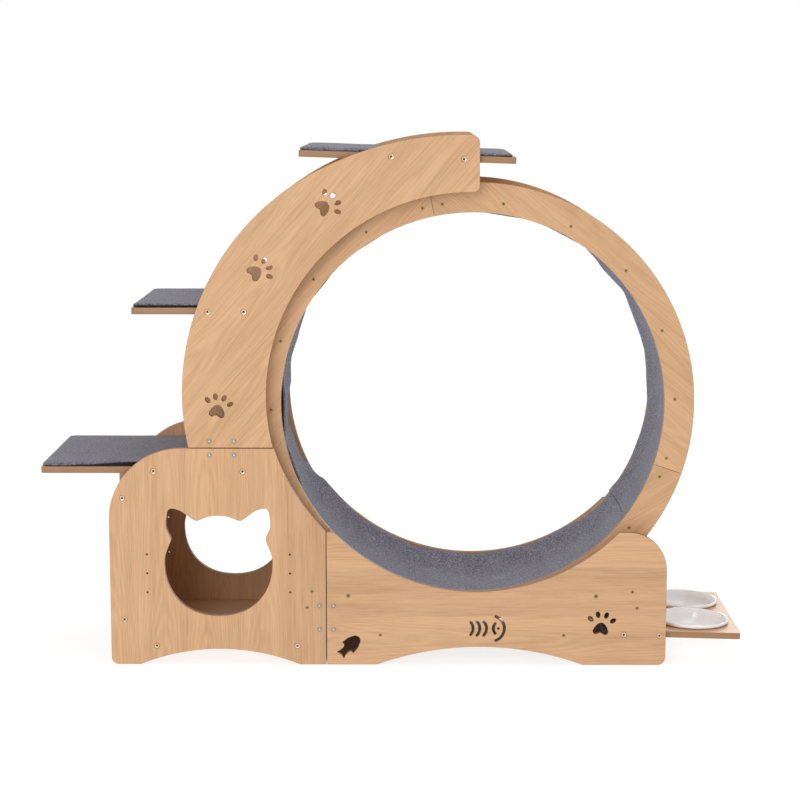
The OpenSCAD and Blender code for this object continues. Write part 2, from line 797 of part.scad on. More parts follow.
module house_floor() {
    color("tan") difference() {
        translate([house_x + wall_in, -inner_depth / 2, floor_z - board_t / 2]) {
            cube([house_w - wall_in - floor_end, inner_depth, board_t]);
        }
        end_bores([house_screws[2], house_screws[3]], screw_d, screw_l);
    }
}

module house_left_wall() {
    color("tan") difference() {
        translate([house_x + wall_in, -inner_depth / 2, wall_bottom]) {
            cube([board_t, inner_depth, wall_top - wall_bottom]);
        }
        end_bores([house_screws[4], house_screws[5]], screw_d, screw_l);
    }
}

module stretcher(side) {
    color("tan") difference() {
        translate([stretcher_at(side), 0, stretcher_z]) rotate([0, -side * stretcher_lean, 0]) {
            cube([board_t, inner_depth, stretcher_w], center = true);
        }
        end_bores(stretcher_screws(side), small_d, small_l);
    }
}

module cross_rail(side) {
    color("tan") difference() {
        translate([rail_at(side), 0, rail_z]) cube([rail_w, inner_depth, rail_w], center = true);
        end_bores([rail_screws[side < 0 ? 0 : 1]], small_d, small_l);
    }
}

// Shelf pads: levels of rounded rectangles, from the drawn-in underside to the crowned top
function rounded_ring(l, w, r, z) = [
    for (corner = [0 : 3])
        for (k = [0 : pad_corner_steps])
            let (a = corner * 90 + k * 90 / pad_corner_steps)
            let (sx = (corner == 0 || corner == 3) ? 1 : -1, sy = corner < 2 ? 1 : -1)
            [sx * (l / 2 - r) + r * cos(a), sy * (w / 2 - r) + r * sin(a), z]
];

function pad_rings(l, w) = concat(
    [for (lv = pad_levels) rounded_ring(l - 2 * lv[0] * pad_t, w - 2 * lv[0] * pad_t,
        max(pad_corner_r - lv[0] * pad_t, pad_corner_r / 4), lv[1] * pad_t)],
    [for (s = pad_crown_shares) rounded_ring(l - s * w, w - s * w,
        max(pad_corner_r, s * w / 4), pad_t + pad_crown * sin(90 * s))]
);

module pad(l) {
    w = inner_depth - 2 * pad_side_gap;
    rings = pad_rings(l, w);
    n = len(rings[0]);
    m = len(rings);
    points = concat([[0, 0, 0]], [for (ring = rings) each ring], [[0, 0, pad_t + pad_crown]]);
    sides = [
        for (j = [0 : m - 2]) for (i = [0 : n - 1])
            let (a = 1 + j * n + i, b = 1 + j * n + (i + 1) % n)
            each [[a, a + n, b + n], [a, b + n, b]]
    ];
    under = [for (i = [0 : n - 1]) [0, 1 + i, 1 + (i + 1) % n]];
    top = [for (i = [0 : n - 1]) [m * n + 1, 1 + (m - 1) * n + (i + 1) % n, 1 + (m - 1) * n + i]];
    polyhedron(points = points, faces = concat(sides, under, top));
}

module lower_shelf_pad() {
    l = lower_shelf_l - 2 * pad_inset;
    color("slategray") translate([-overall_w / 2 + pad_inset + l / 2, 0, lower_shelf_z]) pad(l);
}

module mid_shelf_pad() {
    l = mid_shelf_l - 2 * pad_inset;
    color("slategray") translate([wheel_x - mid_shelf_x + pad_inset + l / 2, 0, mid_shelf_z]) pad(l);
}

module top_shelf_pad() {
    color("slategray") on_top_shelf() pad(top_shelf_l - 2 * pad_inset);
}

// Splice plates behind the seams of each frame, with their bolts and nuts
module splice_plate(c, dx, dz, places) {
    upright(front_y + board_t, splice_t) difference() {
        translate([c[0] - dx / 2 - splice_margin, c[1] - dz / 2 - splice_margin]) {
            square([dx + 2 * splice_margin, dz + 2 * splice_margin]);
        }
        holes(places, splice_d + 2 * screw_gap);
    }
}

module splice_plates() {
    color("silver") both_sides() {
        splice_plate(arch_splice, splice_long, splice_short, arch_splice_holes);
        splice_plate(base_splice, splice_short, splice_long, base_splice_holes);
    }
}

module splice_bolt() {
    cylinder(d1 = splice_head_d * 0.8, d2 = splice_head_d, h = splice_head_h / 2);
    translate([0, 0, splice_head_h / 2]) cylinder(d = splice_head_d, h = splice_head_h / 2);
    translate([0, 0, splice_head_h]) cylinder(d = splice_d, h = board_t + splice_t + splice_nut_t);
}

module splice_bolts() {
    color("gainsboro") both_sides() {
        for (p = concat(arch_splice_holes, base_splice_holes)) {
            along_y(p[0], front_y - splice_head_h, p[1]) splice_bolt();
        }
    }
}

module hex_nut(w, t, bore) {
    difference() {
        cylinder(d = w / cos(30), h = t, $fn = 6);
        translate([0, 0, -overrun]) cylinder(d = bore, h = t + 2 * overrun);
    }
}

module splice_nuts() {
    color("silver") both_sides() {
        for (p = concat(arch_splice_holes, base_splice_holes)) {
            along_y(p[0], front_y + board_t + splice_t, p[1]) hex_nut(splice_nut_w, splice_nut_t, splice_d);
        }
    }
}

module board_screws() {
    color("goldenrod") both_sides() {
        for (p = concat(house_screws, arch_screws, base_screws)) {
            along_y(p[0], front_y, p[1]) board_screw();
        }
    }
}

module stretcher_and_rail_screws() {
    color("darkkhaki") both_sides() {
        for (p = concat(stretcher_screws(-1), stretcher_screws(1), rail_screws)) {
            along_y(p[0], front_y, p[1]) small_screw();
        }
    }
}

// Roller units: an axle bolt through the base panel, a spacer, a bush, the roller and a nut
module each_axle() {
    both_sides() {
        for (p = axle_places) {
            translate([p[0], 0, p[1]]) children();
        }
    }
}

module roller_axles() {
    color("darkkhaki") each_axle() along_y(0, front_y, 0) {
        countersunk_screw(axle_head_d, axle_head_h, axle_d, axle_l);
    }
}

module tube(outer_d, inner_d, l) {
    difference() {
        cylinder(d = outer_d, h = l);
        translate([0, 0, -overrun]) cylinder(d = inner_d, h = l + 2 * overrun);
    }
}

module axle_spacers() {
    color("silver") each_axle() along_y(0, front_y + board_t, 0) tube(spacer_d, axle_d, spacer_l);
}

module roller_bushes() {
    color("peru") each_axle() along_y(0, roller_y - bush_l / 2, 0) tube(bush_d, axle_d, bush_l);
}

module axle_nuts() {
    color("silver") each_axle() along_y(0, roller_y + bush_l / 2, 0) hex_nut(axle_nut_w, axle_nut_t, axle_d);
}

// Half profile of a roller, with its bore, hub, flanges and tread
module roller_profile() {
    half = roller_w / 2;
    tread_half = half - flange_t;
    bore_r = bush_d / 2 + bush_gap;
    polygon([
        [bore_r, -half], [roller_r + flange_h, -half], [roller_r + flange_h, -tread_half - flange_t / 2],
        [roller_r, -tread_half], [roller_r, tread_half], [roller_r + flange_h, tread_half + flange_t / 2],
        [roller_r + flange_h, half], [bore_r, half]
    ]);
}

// side -1 is left of the wheel's axis, face -1 is the front frame
module roller(side, face) {
    color("dimgray") along_y(wheel_x + side * axle_spread, face * -roller_y, axle_z) {
        rotate_extrude() roller_profile();
    }
}

// Wheel: two rings of three segments, a track of slats, a mat and its screws
function slat_turn(i) = wheel_turn + (i - 1) * slat_step;
function is_joint_slat(i) = (i - 1) % slats_per_segment == slats_per_segment / 2;

// Directions of the screws that hold slat i: two at a segment joint, one elsewhere
function slat_screw_turns(i) = [
    for (k = is_joint_slat(i) ? [-1, 1] : [0]) slat_turn(i) + k * joint_screw_turn
];
ring_screw_turns = [for (i = [1 : slat_count]) each slat_screw_turns(i)];

module at_wheel() {
    translate([wheel_x, 0, wheel_z]) children();
}

module ring_segment_outline(k) {
    mid = wheel_turn + k * 360 / segment_count;
    half = 180 / segment_count;
    reach = 2 * ring_outer_r;
    difference() {
        intersection() {
            circle(r = ring_outer_r);
            translate(ring_joint_gap / 2 / sin(half) * [cos(mid), sin(mid)]) polygon([
                [0, 0], reach * [cos(mid - half), sin(mid - half)], reach * [cos(mid), sin(mid)],
                reach * [cos(mid + half), sin(mid + half)]
            ]);
        }
        circle(r = ring_inner_r);
    }
}

module ring_screw_holes() {
    for (turn = ring_screw_turns) {
        along_y(ring_screw_r * cos(turn), ring_y, ring_screw_r * sin(turn)) {
            screw_hole(small_head_d, small_head_h, small_d, ring_t);
        }
    }
}

module front_ring_segment(k) {
    color("burlywood") at_wheel() difference() {
        upright(ring_y, ring_t) ring_segment_outline(k);
        ring_screw_holes();
    }
}

module back_ring_segment(k) {
    mirror([0, 1, 0]) front_ring_segment(k);
}

module track_slat(i) {
    half = 180 / slat_count;
    inner_half = track_r * tan(half) - slat_gap / 2;
    outer_half = (track_r + slat_t) * tan(half) - slat_gap / 2;
    turn = slat_turn(i);
    color("tan") at_wheel() difference() {
        upright(-track_depth / 2, track_depth) rotate(turn) polygon([
            [track_r, -inner_half], [track_r + slat_t, -outer_half],
            [track_r + slat_t, outer_half], [track_r, inner_half]
        ]);
        both_sides() {
            for (a = slat_screw_turns(i)) {
                along_y(ring_screw_r * cos(a), ring_y + ring_t - overrun, ring_screw_r * sin(a)) {
                    cylinder(d = small_d, h = small_l - ring_t + overrun);
                }
            }
        }
    }
}

module ring_screws() {
    color("darkkhaki") at_wheel() both_sides() {
        for (turn = ring_screw_turns) {
            along_y(ring_screw_r * cos(turn), ring_y, ring_screw_r * sin(turn)) small_screw();
        }
    }
}

// The mat lies in flat lengths on the slats
module mat_outline(apothem) {
    half = 180 / slat_count;
    polygon([
        for (i = [1 : slat_count])
            apothem / cos(half) * [cos(slat_turn(i) + half), sin(slat_turn(i) + half)]
    ]);
}

module running_mat() {
    mat_depth = track_depth - 2 * mat_side_gap;
    seat_r = track_r - mat_seat_gap;
    color("slategray") at_wheel() upright(-mat_depth / 2, mat_depth) difference() {
        mat_outline(seat_r);
        mat_outline(seat_r - mat_t);
        rotate(slat_turn(-2) - slat_step / 2) translate([0, -mat_end_gap / 2]) {
            square([2 * seat_r, mat_end_gap]);
        }
    }
}

// A bowl's wall in its own frame, whose origin is on the shelf's top face at the bowl's axis
// The wall swings down from the rim to the foot along a quarter of an ellipse
function bowl_curve(neck_r, foot_r, drop) = [
    for (i = [0 : bowl_steps])
        let (a = 90 * i / bowl_steps)
        [foot_r + (neck_r - foot_r) * cos(a), -drop * sin(a)]
];

module bowl_profile() {
    neck_r = bowl_seat_r - bowl_gap;
    outer = bowl_curve(neck_r, bowl_foot_r, bowl_drop);
    inner = bowl_curve(neck_r - bowl_t, bowl_foot_r - bowl_t, bowl_drop - bowl_t);
    polygon(concat(
        [[bowl_r, bowl_rise], [bowl_r, bowl_rise - bowl_t / 2]],
        outer,
        [[0, -bowl_drop], [0, -bowl_drop + bowl_t]],
        [for (i = [bowl_steps : -1 : 0]) inner[i]],
        [[bowl_r - bowl_t, bowl_rise]]
    ));
}

module bowl(side) {
    color("white") on_bowl_shelf() translate([bowl_shelf_end - bowl_in, side * bowl_pitch / 2, 0]) {
        rotate_extrude() bowl_profile();
    }
}

house_panel();  // front_house_panel
mirror([0, 1, 0]) house_panel();  // back_house_panel
base_panel();  // front_base_panel
mirror([0, 1, 0]) base_panel();  // back_base_panel
arch_panel();  // front_arch_panel
mirror([0, 1, 0]) arch_panel();  // back_arch_panel
house_floor();
house_left_wall();
lower_shelf();
mid_shelf();
top_shelf();
bowl_shelf();
lower_shelf_pad();
mid_shelf_pad();
top_shelf_pad();
stretcher(-1);  // left_stretcher
stretcher(1);  // right_stretcher
cross_rail(-1);  // left_cross_rail
cross_rail(1);  // right_cross_rail
splice_plates();
splice_bolts();
splice_nuts();
board_screws();
stretcher_and_rail_screws();
roller_axles();
axle_spacers();
roller_bushes();
axle_nuts();
roller(-1, -1);  // roller_front_left
roller(1, -1);  // roller_front_right
roller(-1, 1);  // roller_back_left
roller(1, 1);  // roller_back_right
bowl(-1);  // front_bowl
bowl(1);  // back_bowl
running_mat();
ring_screws();
for (k = [1 : segment_count]) {
    front_ring_segment(k - 1);
    back_ring_segment(k - 1);
}
for (i = [1 : slat_count]) {
    track_slat(i);
}
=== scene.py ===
import json
import math
from functools import partialmethod

import bmesh
import bpy
import numpy as np
from bpy.props import FloatProperty, FloatVectorProperty, IntProperty, PointerProperty
from mathutils import Matrix, Vector, noise


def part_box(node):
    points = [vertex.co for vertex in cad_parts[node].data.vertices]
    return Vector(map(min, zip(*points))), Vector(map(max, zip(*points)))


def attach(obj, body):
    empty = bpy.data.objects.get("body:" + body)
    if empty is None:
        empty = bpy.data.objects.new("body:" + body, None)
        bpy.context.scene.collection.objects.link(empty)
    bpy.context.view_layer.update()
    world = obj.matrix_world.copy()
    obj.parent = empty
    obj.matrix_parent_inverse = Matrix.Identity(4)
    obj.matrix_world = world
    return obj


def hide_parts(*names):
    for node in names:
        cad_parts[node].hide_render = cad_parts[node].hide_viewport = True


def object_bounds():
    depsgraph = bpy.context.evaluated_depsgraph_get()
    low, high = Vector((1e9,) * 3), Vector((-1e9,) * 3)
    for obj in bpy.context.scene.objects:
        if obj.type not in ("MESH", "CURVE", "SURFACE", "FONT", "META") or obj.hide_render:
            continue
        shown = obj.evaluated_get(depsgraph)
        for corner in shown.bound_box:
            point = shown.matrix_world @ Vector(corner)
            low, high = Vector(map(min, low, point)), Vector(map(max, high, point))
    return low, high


bl_info = {
    "name": "Cat exercise wheel",
    "version": (1, 0, 0),
    "blender": (4, 5, 0),
    "location": "3D View > Sidebar > Cat wheel",
    "description": "Finishes the packed cat exercise wheel in beech, felt, ceramic and plated screws",
    "category": "Object",
}

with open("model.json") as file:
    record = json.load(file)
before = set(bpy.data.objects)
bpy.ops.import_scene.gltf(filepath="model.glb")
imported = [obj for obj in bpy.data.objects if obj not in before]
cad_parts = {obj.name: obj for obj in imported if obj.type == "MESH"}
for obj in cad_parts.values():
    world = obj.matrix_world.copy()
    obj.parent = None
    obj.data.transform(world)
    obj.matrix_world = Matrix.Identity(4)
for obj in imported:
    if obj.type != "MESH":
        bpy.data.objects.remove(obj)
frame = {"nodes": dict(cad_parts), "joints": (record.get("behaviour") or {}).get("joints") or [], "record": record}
CAD_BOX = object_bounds()
BODY_OF = {
    node: body
    for body, nodes in frame["record"]["behaviour"]["bodies"].items()
    for node in nodes
}
WHEEL_AXIS = Vector(next(j["pos_m"] for j in frame["joints"] if j["name"] == "wheel_spin"))
BOWL_UP = Vector(next(j["axis"] for j in frame["joints"] if j["name"] == "front_bowl_lift"))
# How far the grain leans up from the X axis, in degrees: by frame panel, and by ring segment
PANEL_LEANS = {"house": 90.0, "base": 0.0, "arch": 49.0}
RING_LEANS = (-40.0, 47.0, 33.0)
SHELVES = ("lower_shelf", "mid_shelf", "top_shelf", "bowl_shelf", "house_floor")
CROSS_BOARDS = ("house_left_wall", "left_stretcher", "right_stretcher", "left_cross_rail", "right_cross_rail")


# Settings


def metres(name, description, default, **limits):
    """A length that a user can change."""
    return FloatProperty(name=name, description=description, default=default, unit="LENGTH", **limits)


def angle(name, description, default):
    """A direction or a slope that a user can change, in radians."""
    return FloatProperty(name=name, description=description, default=default, subtype="ANGLE")


def watts(name, description, default):
    """A light's power that a user can change."""
    return FloatProperty(name=name, description=description, default=default, unit="POWER")


def tint(name, description, default):
    """A colour that a user can change."""
    return FloatVectorProperty(name=name, description=description, default=default, subtype="COLOR")


class WoodSettings(bpy.types.PropertyGroup):
    """Colours and sizes of the laminated beech"""

    light: tint("Light grain", "Colour of the palest lines of the laminate", (0.668, 0.408, 0.223))
    dark: tint("Dark grain", "Colour of the darkest lines of the laminate", (0.40, 0.22, 0.108))
    cut: tint("Cut edge", "Colour of the banded edges of the boards", (0.36, 0.195, 0.098))
    strip: metres("Strip width", "Width of the printed wood strips", 0.118, min=0.03)
    round: metres("Edge rounding", "Rounding of the boards' edges", 0.0007, min=0.0001, max=0.001)


class TrackSettings(bpy.types.PropertyGroup):
    """Sizes of the slats under the running mat"""

    count: IntProperty(name="Slats", description="Number of slats in the track", default=18, min=6)
    turn: angle("First slat", "Direction of the first slat from the X axis", math.radians(41.6))
    radius: metres("Track radius", "Distance of the slats' inner faces from the axis", 0.467)
    thickness: metres("Slat thickness", "Thickness of a slat", 0.015)
    gap: metres("Slat gap", "Gap between neighbouring slats", 0.0005)
    round: metres("Slat rounding", "Rounding of a slat's long edges", 0.001)
    seed: IntProperty(name="Tone seed", description="Seed of the slats' tones", default=7)


class FeltSettings(bpy.types.PropertyGroup):
    """Colours and sizes of the mat and the shelf pads"""

    light: tint("Light fibres", "Colour of the palest fibres", (0.30, 0.285, 0.34))
    dark: tint("Dark fibres", "Colour of the darkest fibres", (0.045, 0.041, 0.058))
    # Near-black band at a pad's foot: partly a dark backing layer, partly painted shade under the lifted felt
    backing: tint("Backing", "Colour of the layer under a shelf pad", (0.003, 0.0025, 0.003))
    mat_thickness: metres("Mat thickness", "Thickness of the running mat", 0.006)
    swell: metres("Pad swell", "Furthest that a pad's top swells in the simulation", 0.0016)


class MetalSettings(bpy.types.PropertyGroup):
    """Colours and sizes of the screws and bolts"""

    gilt: tint("Gilt", "Colour of the long screws", (0.88, 0.66, 0.58))
    brass: tint("Yellow zinc", "Colour of the small screws and axle bolts", (0.30, 0.23, 0.08))
    zinc: tint("Zinc", "Colour of the splice bolts and nuts", (0.36, 0.35, 0.33))
    recess: metres("Recess width", "Half the width of the cross recess in a head of 24 mm", 0.0015)
    gap: metres("Countersink gap", "Dark gap between a screw's head and the wood", 0.0005)
    seed: IntProperty(name="Turn seed", description="Seed of how far each screw is turned", default=11)


class BowlSettings(bpy.types.PropertyGroup):
    """Sizes and colour of the feeding bowls"""

    glaze: tint("Glaze", "Colour of the bowls", (0.97, 0.975, 1.0))
    rim: metres("Rim radius", "Radius of a bowl's rim", 0.089)
    neck: metres("Neck radius", "Radius of a bowl in its cut-out", 0.0796)
    foot: metres("Foot radius", "Radius of a bowl's foot", 0.042)
    rise: metres("Rise", "Height of the rim over the shelf", 0.010)
    drop: metres("Drop", "Depth of a bowl below the shelf", 0.032)
    wall: metres("Wall", "Thickness of a bowl's wall", 0.003)


class StageSettings(bpy.types.PropertyGroup):
    """Floor, lights and camera"""

    floor: tint("Floor", "Colour of the floor", (0.30, 0.30, 0.30))
    glow: FloatProperty(name="Floor glow", description="Light that the white floor gives off", default=0.80)
    sky: FloatProperty(name="Surrounding light", description="Strength of light from all sides", default=0.70)
    key: watts("Key light", "Power of the large light before the wheel", 58.0)
    top: watts("Top light", "Power of the light above", 26.0)
    window: watts("Window light", "Power of the narrow light that glints in the bowls", 24.0)
    eye: FloatVectorProperty(
        name="Camera place",
        description="Where the camera stands",
        default=(0.0507, -4.849, 1.3328),
        subtype="TRANSLATION",
    )
    pitch: angle("Camera pitch", "How far the camera looks down", 0.1496)
    yaw: angle("Camera yaw", "How far the camera turns to its left", 0.0071)
    lens: FloatProperty(name="Lens", description="Focal length on a sensor 36 mm wide", default=90.7)


class CatWheelSettings(bpy.types.PropertyGroup):
    """All settings of the cat exercise wheel"""

    wood: PointerProperty(type=WoodSettings)
    track: PointerProperty(type=TrackSettings)
    felt: PointerProperty(type=FeltSettings)
    metal: PointerProperty(type=MetalSettings)
    bowl: PointerProperty(type=BowlSettings)
    stage: PointerProperty(type=StageSettings)


def settings():
    return bpy.context.scene.cat_wheel


# Node trees and materials


class Tree:
    """A node tree whose nodes are added one by one."""

    def __init__(self, tree):
        self.tree = tree

    def put(self, socket, value):
        if isinstance(value, bpy.types.NodeSocket):
            self.tree.links.new(value, socket)
        elif hasattr(value, "__len__") and len(socket.default_value) == 4:
            socket.default_value = (*value[:3], 1.0)
        else:
            socket.default_value = value

    def add(self, kind, props=None, **inputs):
        """Adds a node. An input goes by its name, with _ for a blank, or by i and its number."""
        node = self.tree.nodes.new(kind)
        for name, value in (props or {}).items():
            setattr(node, name, value)
        for name, value in inputs.items():
            self.put(node.inputs[int(name[1:]) if name[1:].isdigit() else name.replace("_", " ")], value)
        return node

    def out(self, kind, props=None, **inputs):
        """The first output of a new node."""
        return self.add(kind, props, **inputs).outputs[0]

    def calc(self, operation, a, b=0.0):
        return self.out("ShaderNodeMath", {"operation": operation}, i0=a, i1=b)

    plus = partialmethod(calc, "ADD")
    minus = partialmethod(calc, "SUBTRACT")
    times = partialmethod(calc, "MULTIPLY")
    over = partialmethod(calc, "DIVIDE")

    def join(self, x=0.0, y=0.0, z=0.0):
        return self.out("ShaderNodeCombineXYZ", X=x, Y=y, Z=z)


class Surface(Tree):
    """The node tree of a new material."""

    def __init__(self, name):
        self.material = bpy.data.materials.new(name)
        self.material.use_nodes = True
        super().__init__(self.material.node_tree)
        self.tree.nodes.clear()
        self.shader = self.add("ShaderNodeBsdfPrincipled")
        self.add("ShaderNodeOutputMaterial", i0=self.shader.outputs[0])

    def place(self):
        return self.add("ShaderNodeTexCoord").outputs["Object"]

    def attribute(self, name):
        return self.add("ShaderNodeAttribute", {"attribute_name": name}).outputs["Fac"]

    def total(self, *terms):
        """The sum of (value, weight) terms."""
        whole = 0.0
        for value, weight in terms:
            whole = self.plus(whole, self.times(value, weight))
        return whole

    def split(self, vector):
        """The vector's X, Y and Z by name."""
        return self.add("ShaderNodeSeparateXYZ", Vector=vector).outputs

    def stretch(self, vector, scale):
        return self.out("ShaderNodeMapping", Vector=vector, Scale=scale)

    def noise(self, vector, scale, detail=2.0, rough=0.5, bend=0.0):
        shape = {"Scale": scale, "Detail": detail, "Roughness": rough, "Distortion": bend}
        return self.out("ShaderNodeTexNoise", Vector=vector, **shape)

    def between(self, value, low, high, to_low=0.0, to_high=1.0):
        """The value carried over from one span to another, and held at its ends."""
        spans = {"From_Min": low, "From_Max": high, "To_Min": to_low, "To_Max": to_high}
        return self.out("ShaderNodeMapRange", Value=value, **spans)

    def ramp(self, value, *stops):
        node = self.add("ShaderNodeValToRGB", Fac=value)
        marks = node.color_ramp.elements
        while len(marks) < len(stops):
            marks.new(0.5)
        for mark, (place, colour) in zip(marks, stops):
            mark.position, mark.color = place, (*colour[:3], 1.0)
        return node.outputs["Color"]

    def mix(self, factor, a, b, blend="MIX"):
        kinds = {"data_type": "RGBA", "blend_type": blend}
        return self.add("ShaderNodeMix", kinds, i0=factor, i6=a, i7=b).outputs[2]

    def bump(self, height, strength, depth):
        return self.out("ShaderNodeBump", Height=height, Strength=strength, Distance=depth)

    def finish(self, **inputs):
        for name, value in inputs.items():
            self.put(self.shader.inputs[name.replace("_", " ")], value)
        return self.material


def laminate(name, axes="XZY", turn=0.0, seed=0.0, tone=False, gain=1.0, stain=None):
    """Beech laminate printed in strips.

    axes names the axis along the grain, the one across the strips and the one through the board. turn leans
    the grain in the XZ plane, up from the X axis. tone adds a tone of its own to each copy. gain darkens the
    face, as painted shade on the inner cross boards. The last argument gives the two X places between which a
    near-black painted shade fades out.
    """
    wood = settings().wood
    s = Surface(name)
    place = s.place()
    if turn:
        place = s.out("ShaderNodeVectorRotate", {"rotation_type": "Y_AXIS"}, Vector=place, Angle=turn)
    parts = s.split(place)
    run, width, depth = (parts[axis] for axis in axes)
    across_strips = s.plus(s.over(width, wood.strip), seed)
    strip = s.calc("FLOOR", across_strips)
    pick = s.out("ShaderNodeTexWhiteNoise", {"noise_dimensions": "1D"}, W=strip)
    # Each strip takes its grain from another stretch of the run
    run = s.plus(run, s.times(pick, 7.0))

    def streaks(along_scale, across_scale, detail, rough=0.5):
        scaled = (s.times(run, along_scale), s.times(width, across_scale), s.times(depth, across_scale))
        return s.noise(s.join(*scaled), 1.0, detail, rough, 0.15)

    bands = streaks(1.1, 24.0, 1.0)
    bars = streaks(4.5, 120.0, 2.0)
    fine = streaks(12.0, 380.0, 2.0, 0.6)
    pores = streaks(60.0, 1000.0, 1.0)
    # Nested arches along the middle of a strip, as where a plank is cut near the bark
    local = s.minus(s.calc("FRACT", across_strips), s.between(pick, 0.0, 1.0, 0.35, 0.65))
    bow = s.times(s.times(local, local), 26.0)
    sweep = s.noise(s.join(s.times(run, 2.2), s.times(width, 9.0), pick), 1.0, 2.0, 0.5)
    phase = s.plus(s.times(run, 9.0), s.plus(bow, s.times(sweep, 7.0)))
    arches = s.times(s.calc("SINE", s.times(phase, 2 * math.pi)), s.between(pick, 0.35, 0.6, 0.012, 0.055))
    clouds = s.noise(s.place(), 3.2, 2.0)
    layers = [(bands, 0.36), (fine, 0.54), (bars, 0.23), (pores, 0.16)]
    layers += [(arches, 1.0), (pick, 0.16), (clouds, 0.22)]
    if tone:
        layers.append((s.attribute("tone"), 0.25))
    face = s.ramp(s.total(*layers), (0.47, wood.dark), (1.0, wood.light))
    warm = (1.0, 0.955, 0.885)
    face = s.mix(s.times(pick, 0.6), face, warm, "MULTIPLY")
    if gain != 1.0:
        face = s.mix(1.0, face, (gain, gain**1.25, gain**1.5), "MULTIPLY")
    flecks = s.between(pores, 0.62, 0.74)
    face = s.mix(s.times(flecks, 0.10), face, wood.dark)
    veneer = s.between(s.noise(s.place(), 14.0, 2.0), 0.3, 0.7, 0.0, 0.45)
    edge = s.mix(veneer, wood.cut, [c * 0.78 for c in wood.cut])
    colour = s.mix(s.attribute("cut"), face, edge)
    if stain:
        # Painted shade: near black at the first X place, fading out by the second
        stained = s.between(s.split(s.place())["X"], *stain, 0.95, 0.0)
        colour = s.mix(stained, colour, (0.012, 0.008, 0.006))
    return s.finish(
        Base_Color=colour,
        Roughness=s.between(fine, 0.3, 0.7, 0.38, 0.50),
        Normal=s.bump(s.minus(fine, s.times(flecks, 0.5)), 0.12, 0.0003),
        Specular_IOR_Level=0.4,
    )


def felt(name, gain=1.0):
    """Needle felt: mottled blue-grey fibres with a soft sheen. gain lightens the whole cloth."""
    look = settings().felt
    s = Surface(name)
    place = s.place()
    clouds = s.noise(place, 22.0, 3.0, 0.6)
    mottle = s.noise(place, 240.0, 3.0, 0.7, 0.3)
    strands = s.noise(s.stretch(place, (900.0, 210.0, 500.0)), 1.0, 2.0, 0.6, 0.8)
    others = s.noise(s.stretch(place, (230.0, 900.0, 300.0)), 1.0, 2.0, 0.6, 0.8)
    shade = s.total((mottle, 0.95), (clouds, 0.10), (strands, 0.10), (others, 0.10))
    light, dark = [gain * c for c in look.light], [gain * c for c in look.dark]
    middle = [(a + b) / 2 * 0.78 for a, b in zip(light, dark)]
    colour = s.ramp(shade, (0.45, dark), (0.63, middle), (0.79, light))
    # The band at a pad's foot: partly dark backing, partly painted shade
    colour = s.mix(s.attribute("backing"), colour, look.backing)
    pile = s.plus(mottle, s.times(strands, 0.6))
    return s.finish(
        Base_Color=colour,
        Roughness=s.between(mottle, 0.3, 0.7, 0.85, 0.98),
        Normal=s.bump(pile, 0.55, 0.0012),
        Specular_IOR_Level=0.2,
        Sheen_Weight=0.25,
        Sheen_Roughness=0.6,
        Sheen_Tint=(0.8, 0.82, 0.9),
    )


def plated(name, colour, other, rough, rim, recess):
    """Plated steel with a tone of its own for each screw, a rim of its own colour, and a recess colour: near black
    as painted shade, pale on zinc as a painted highlight.
    """
    s = Surface(name)
    place = s.place()
    marks = s.noise(place, 900.0, 2.0, 0.6)
    stains = s.noise(place, 160.0, 2.0)
    base = s.mix(s.attribute("tone"), colour, other)
    base = s.mix(s.between(stains, 0.45, 0.75, 0.0, 0.4), base, [c * 0.6 for c in colour])
    base = s.mix(s.attribute("rim"), base, rim)
    # The recess colour: painted shade in the hollow, near black; on zinc a pale painted highlight instead
    base = s.mix(s.attribute("recess"), base, recess)
    return s.finish(
        Base_Color=base,
        Metallic=1.0,
        Roughness=s.between(marks, 0.3, 0.7, rough, rough + 0.14),
        Normal=s.bump(marks, 0.08, 0.0001),
    )


def ceramic(name):
    """Glossy white glaze over a slightly uneven body."""
    s = Surface(name)
    place = s.place()
    swirl = s.noise(place, 26.0, 2.0)
    specks = s.noise(place, 700.0, 2.0)
    glaze = settings().bowl.glaze
    colour = s.mix(s.between(swirl, 0.35, 0.7, 0.0, 0.35), glaze, [c * 0.93 for c in glaze])
    return s.finish(
        Base_Color=colour,
        Roughness=s.between(specks, 0.3, 0.7, 0.05, 0.09),
        Normal=s.bump(swirl, 0.06, 0.001),
        Coat_Weight=0.5,
        Coat_Roughness=0.05,
        Specular_IOR_Level=0.6,
    )


def nylon(name, colour):
    """Moulded nylon with a fine grain."""
    s = Surface(name)
    place = s.place()
    grain = s.noise(place, 1200.0, 2.0)
    wear = s.noise(place, 90.0, 3.0)
    tone = s.mix(s.between(wear, 0.4, 0.7, 0.0, 0.5), colour, [c * 1.7 + 0.02 for c in colour])
    return s.finish(
        Base_Color=tone,
        Roughness=s.between(wear, 0.3, 0.7, 0.42, 0.6),
        Normal=s.bump(grain, 0.15, 0.0002),
    )


